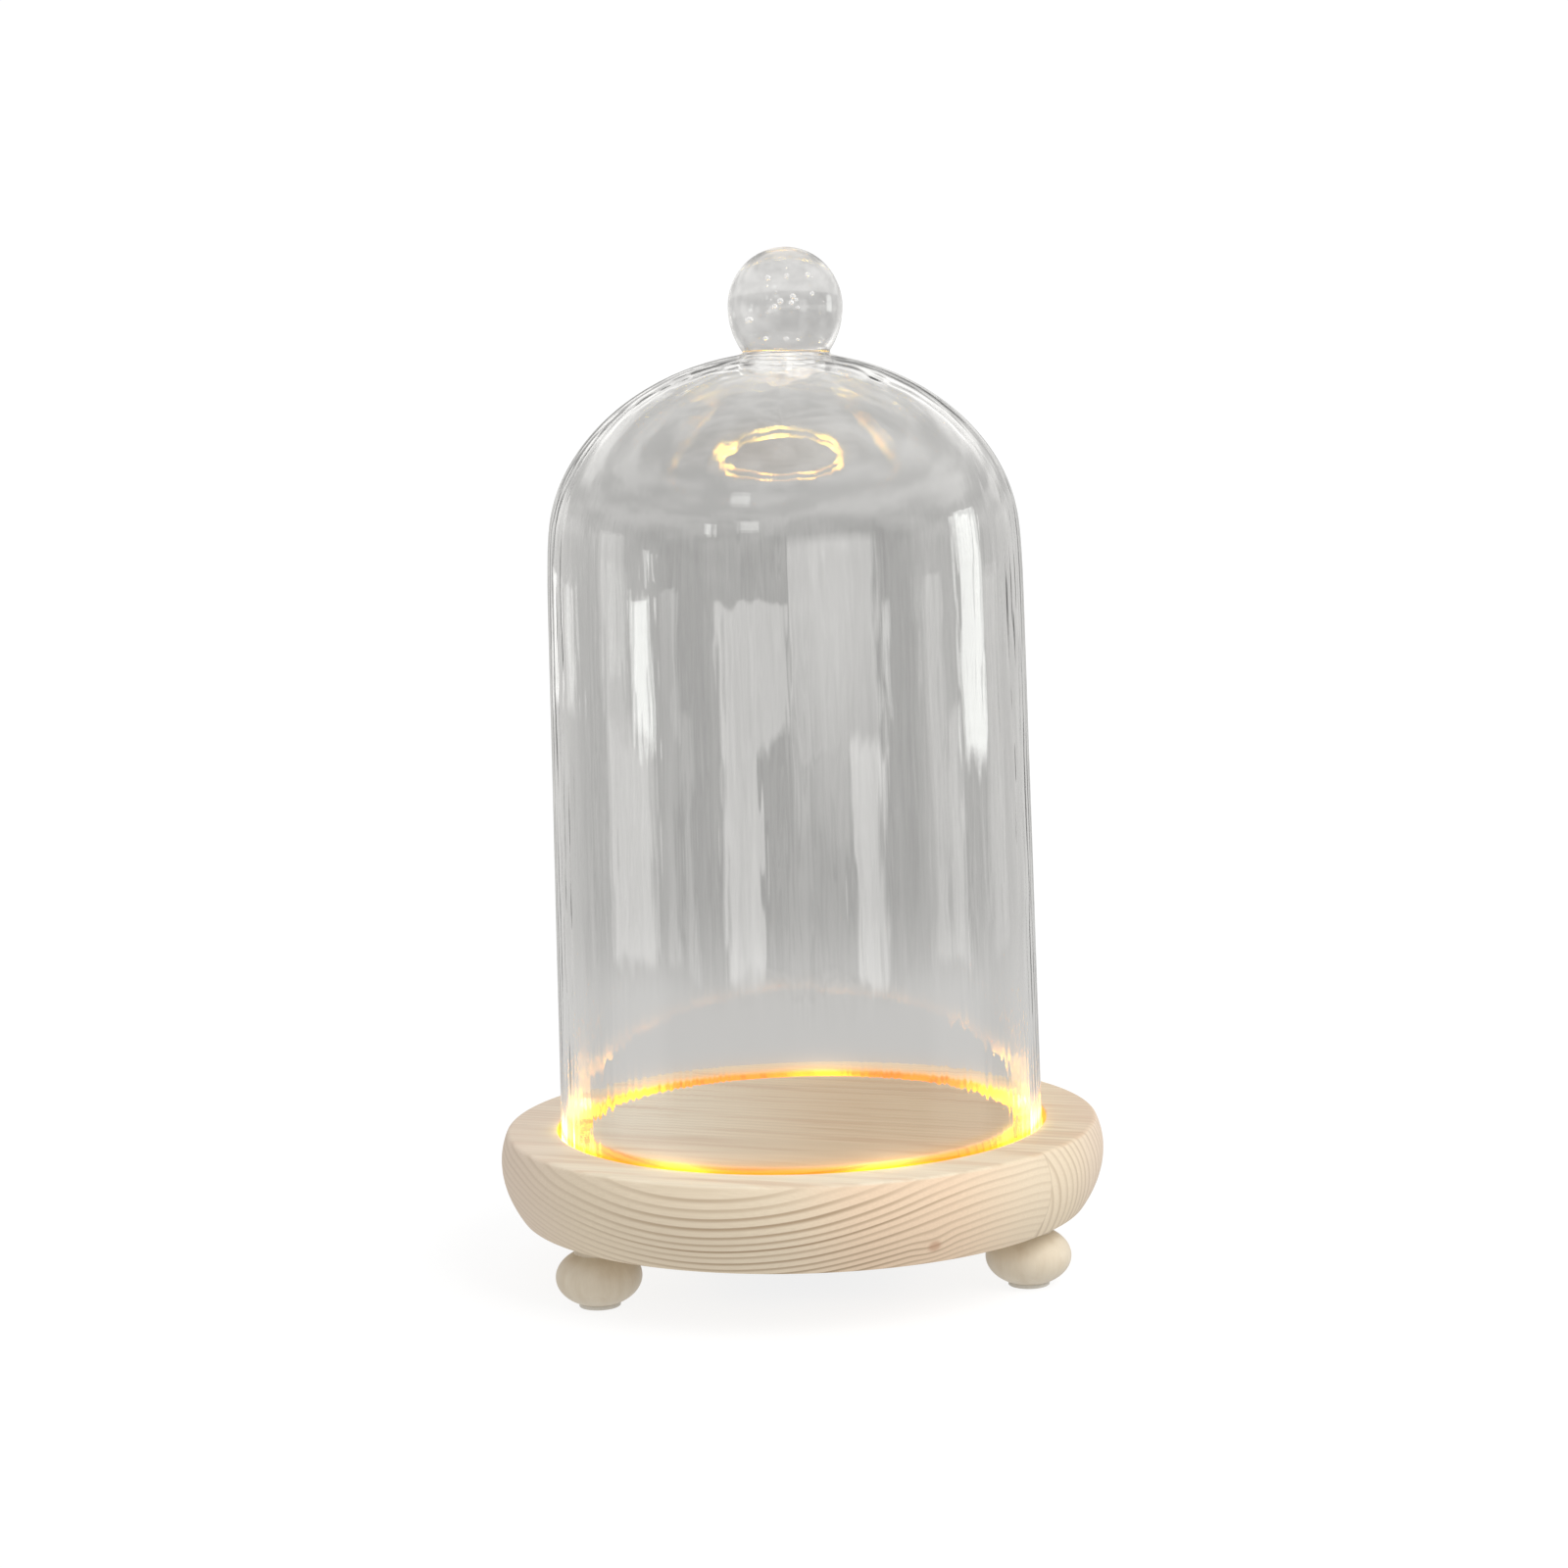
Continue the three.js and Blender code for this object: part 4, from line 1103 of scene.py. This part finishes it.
def room(nodes, azimuth, elevation):
    """What the glass mirrors: an uneven grey wall and ceiling with pale panels and tall windows."""

    def card(spans, heights, soft=(1.6, 0.4)):
        return nodes.band(azimuth, *spans, soft[0]) * nodes.band(elevation, *heights, soft[1])

    def cards(rows):
        return sum(strength * card(spans, heights) for spans, heights, strength in rows)

    ceiling = nodes.step(elevation, 4, 30)
    side = nodes.step(abs(azimuth), 108, 128)
    to_right = nodes.step(azimuth, -70, 90)
    light = 0.50 + 0.14 * side + ceiling * (0.16 + 0.5 * to_right * (1 - side))
    patches = nodes.noise(nodes.vector(azimuth / 28, elevation / 11, 3), detail=2)
    light = light + 0.65 * (nodes.step(patches, 0.35, 0.65) - 0.4) * nodes.step(elevation, 0, 12)
    front_wall = card((-66, 66), (-10, 16), (14, 14))
    light = light - 0.36 * front_wall
    folds = nodes.noise(nodes.vector(azimuth / 1.6, elevation / 14, 0), detail=3, roughness=0.65)
    hangings = nodes.step(elevation, -9.5, -7.5) * (1 - ceiling) * (1 - side)
    light = light + 0.7 * (nodes.step(folds, 0.3, 0.75) - 0.42) * hangings
    low_panel = card((-33, 44), (TABLE_EDGE, -3.8))
    high_panels = card((-33, 0), (-3.8, -0.3)) + card((1.5, 44), (-3.8, 9), (1.6, 6))
    gap = card((-14, 28.5), (TABLE_EDGE, -3.8), (1.0, 0.25))
    table = card((-100, 100), (-14, -8.5), (20, 0.9))
    light = light + 1.35 * (low_panel + high_panels - gap) + cards(PALE_PANELS) + 0.25 * table
    windows = cards(WINDOWS)
    tint = nodes.mix(windows, (1.0, 0.99, 0.97), (0.98, 1.0, 0.97))
    return tint, light + 3.0 * windows


def sky():
    """The world: white to the camera and on the object, grey through glass, and the room mirrored in it."""
    world = bpy.data.worlds.new("studio")
    world.use_nodes = True
    bpy.context.scene.world = world
    nodes = Nodes(world.node_tree)

    def background(colour, strength):
        return nodes.node("Background", {"Color": colour, "Strength": strength}).outputs[0]

    x, y, z = nodes.parts(nodes.node("TexCoord").outputs["Generated"])
    azimuth = nodes.math("ARCTAN2", x, -1.0 * y) * math.degrees(1)
    elevation = nodes.math("ARCSINE", z) * math.degrees(1)
    plain = background((1, 1, 1), 0.8 + 0.25 * nodes.path("Is Camera Ray"))
    below_table = 1 - nodes.step(elevation, -10, -8)
    through = background((1.0, 0.99, 0.975), 0.45 + 0.13 * below_table)
    mirrored_room = background(*room(nodes, azimuth, elevation))
    in_glass = nodes.mix_shader(in_mirror(nodes), through, mirrored_room)
    nodes.output(nodes.mix_shader(nodes.path("Is Glossy Ray"), plain, in_glass), "OutputWorld")


def hide_from_glass(thing):
    thing.visible_glossy = False
    thing.visible_transmission = False


def floor():
    """A plain pale floor. It fades to white away from the object and can be seen through from below."""
    made, nodes = material("pale_floor")
    x, y, _ = nodes.place()
    away = nodes.step((x**2 + y**2) ** 0.5, 110, 420)
    pale = nodes.principled(Base_Color=(0.93, 0.93, 0.93), Roughness=0.9, Specular_IOR_Level=0.1)
    brightness = 0.85 + 0.2 * nodes.path("Is Camera Ray")
    bright = nodes.node("Emission", {"Color": (1, 1, 1), "Strength": brightness}).outputs[0]
    shown = nodes.mix_shader(0.8 + 0.2 * away, pale, bright)
    from_below = nodes.num(nodes.node("NewGeometry").outputs["Backfacing"])
    nodes.output(nodes.mix_shader(from_below, shown, nodes.node("BsdfTransparent").outputs[0]))
    half, clearance = 6.0, 0.02 * MM
    corners = [(-half, -half, 0), (half, -half, 0), (half, half, 0), (-half, half, 0)]
    mesh = mesh_of("floor", corners, [(0, 1, 2, 3)])
    if mesh.polygons[0].normal.z < 0:
        mesh.flip_normals()
    mesh.materials.append(made)
    sheet = bpy.data.objects.new("floor", mesh)
    bpy.context.scene.collection.objects.link(sheet)
    sheet.location.z = -clearance
    hide_from_glass(sheet)


def lamp(name, kind, place, power, colour):
    """A light that the glass doesn't show. Returns its object and its settings."""
    settings = bpy.data.lights.new(name, kind)
    settings.energy = power
    settings.color = colour
    made = bpy.data.objects.new(name, settings)
    made.location = place
    hide_from_glass(made)
    bpy.context.scene.collection.objects.link(made)
    return made, settings


def lights():
    """A soft key light from the front right, and a faint amber light over each bead."""
    key, softbox = lamp("key", "AREA", (0.7, -0.7, 1.0), 11.5, (1.0, 0.98, 0.95))
    softbox.size = 0.8
    aim = Vector((0, 0, 0.05))
    key.rotation_mode = "QUATERNION"
    key.rotation_quaternion = (aim - key.location).to_track_quat("-Z", "Y")
    key.visible_camera = False
    over_bead = Vector((0, 0, 2.4 * MM))
    for name in BEADS:
        _, glow = lamp("glow_" + name, "POINT", middle(name) + over_bead, 0.0005, (1.0, 0.42, 0.05))
        glow.shadow_soft_size = 1.2 * MM


def camera():
    """The photograph's viewpoint: level with the shoulder, looking slightly down, rolled a little."""
    place = Vector((-1.8, -726.3, 194.5)) * MM
    tilt_down, roll = 5.78, -1.75
    data = bpy.data.cameras.new("camera")
    data.sensor_width = 36
    data.lens = 67.75
    data.clip_start = 0.01
    made = bpy.data.objects.new("camera", data)
    tilted = Matrix.Rotation(math.radians(90 - tilt_down), 4, "X")
    rolled = Matrix.Rotation(math.radians(roll), 4, "Z")
    made.matrix_world = Matrix.Translation(place) @ tilted @ rolled
    bpy.context.scene.collection.objects.link(made)
    bpy.context.scene.camera = made


def studio():
    scene = bpy.context.scene
    scene.view_settings.view_transform = "Standard"
    scene.cycles.max_bounces = 24
    scene.cycles.transmission_bounces = 24
    scene.cycles.glossy_bounces = 8
    scene.cycles.transparent_max_bounces = 24
    sky()
    floor()
    lights()
    camera()


# ---- Assembly ------------------------------------------------------------------------------------

wooden_base()
clear = glass()
glass_dome(clear)
seeds(bubble())
feet()
light_string()
beads()
cells()
finish_cad_nodes()
studio()
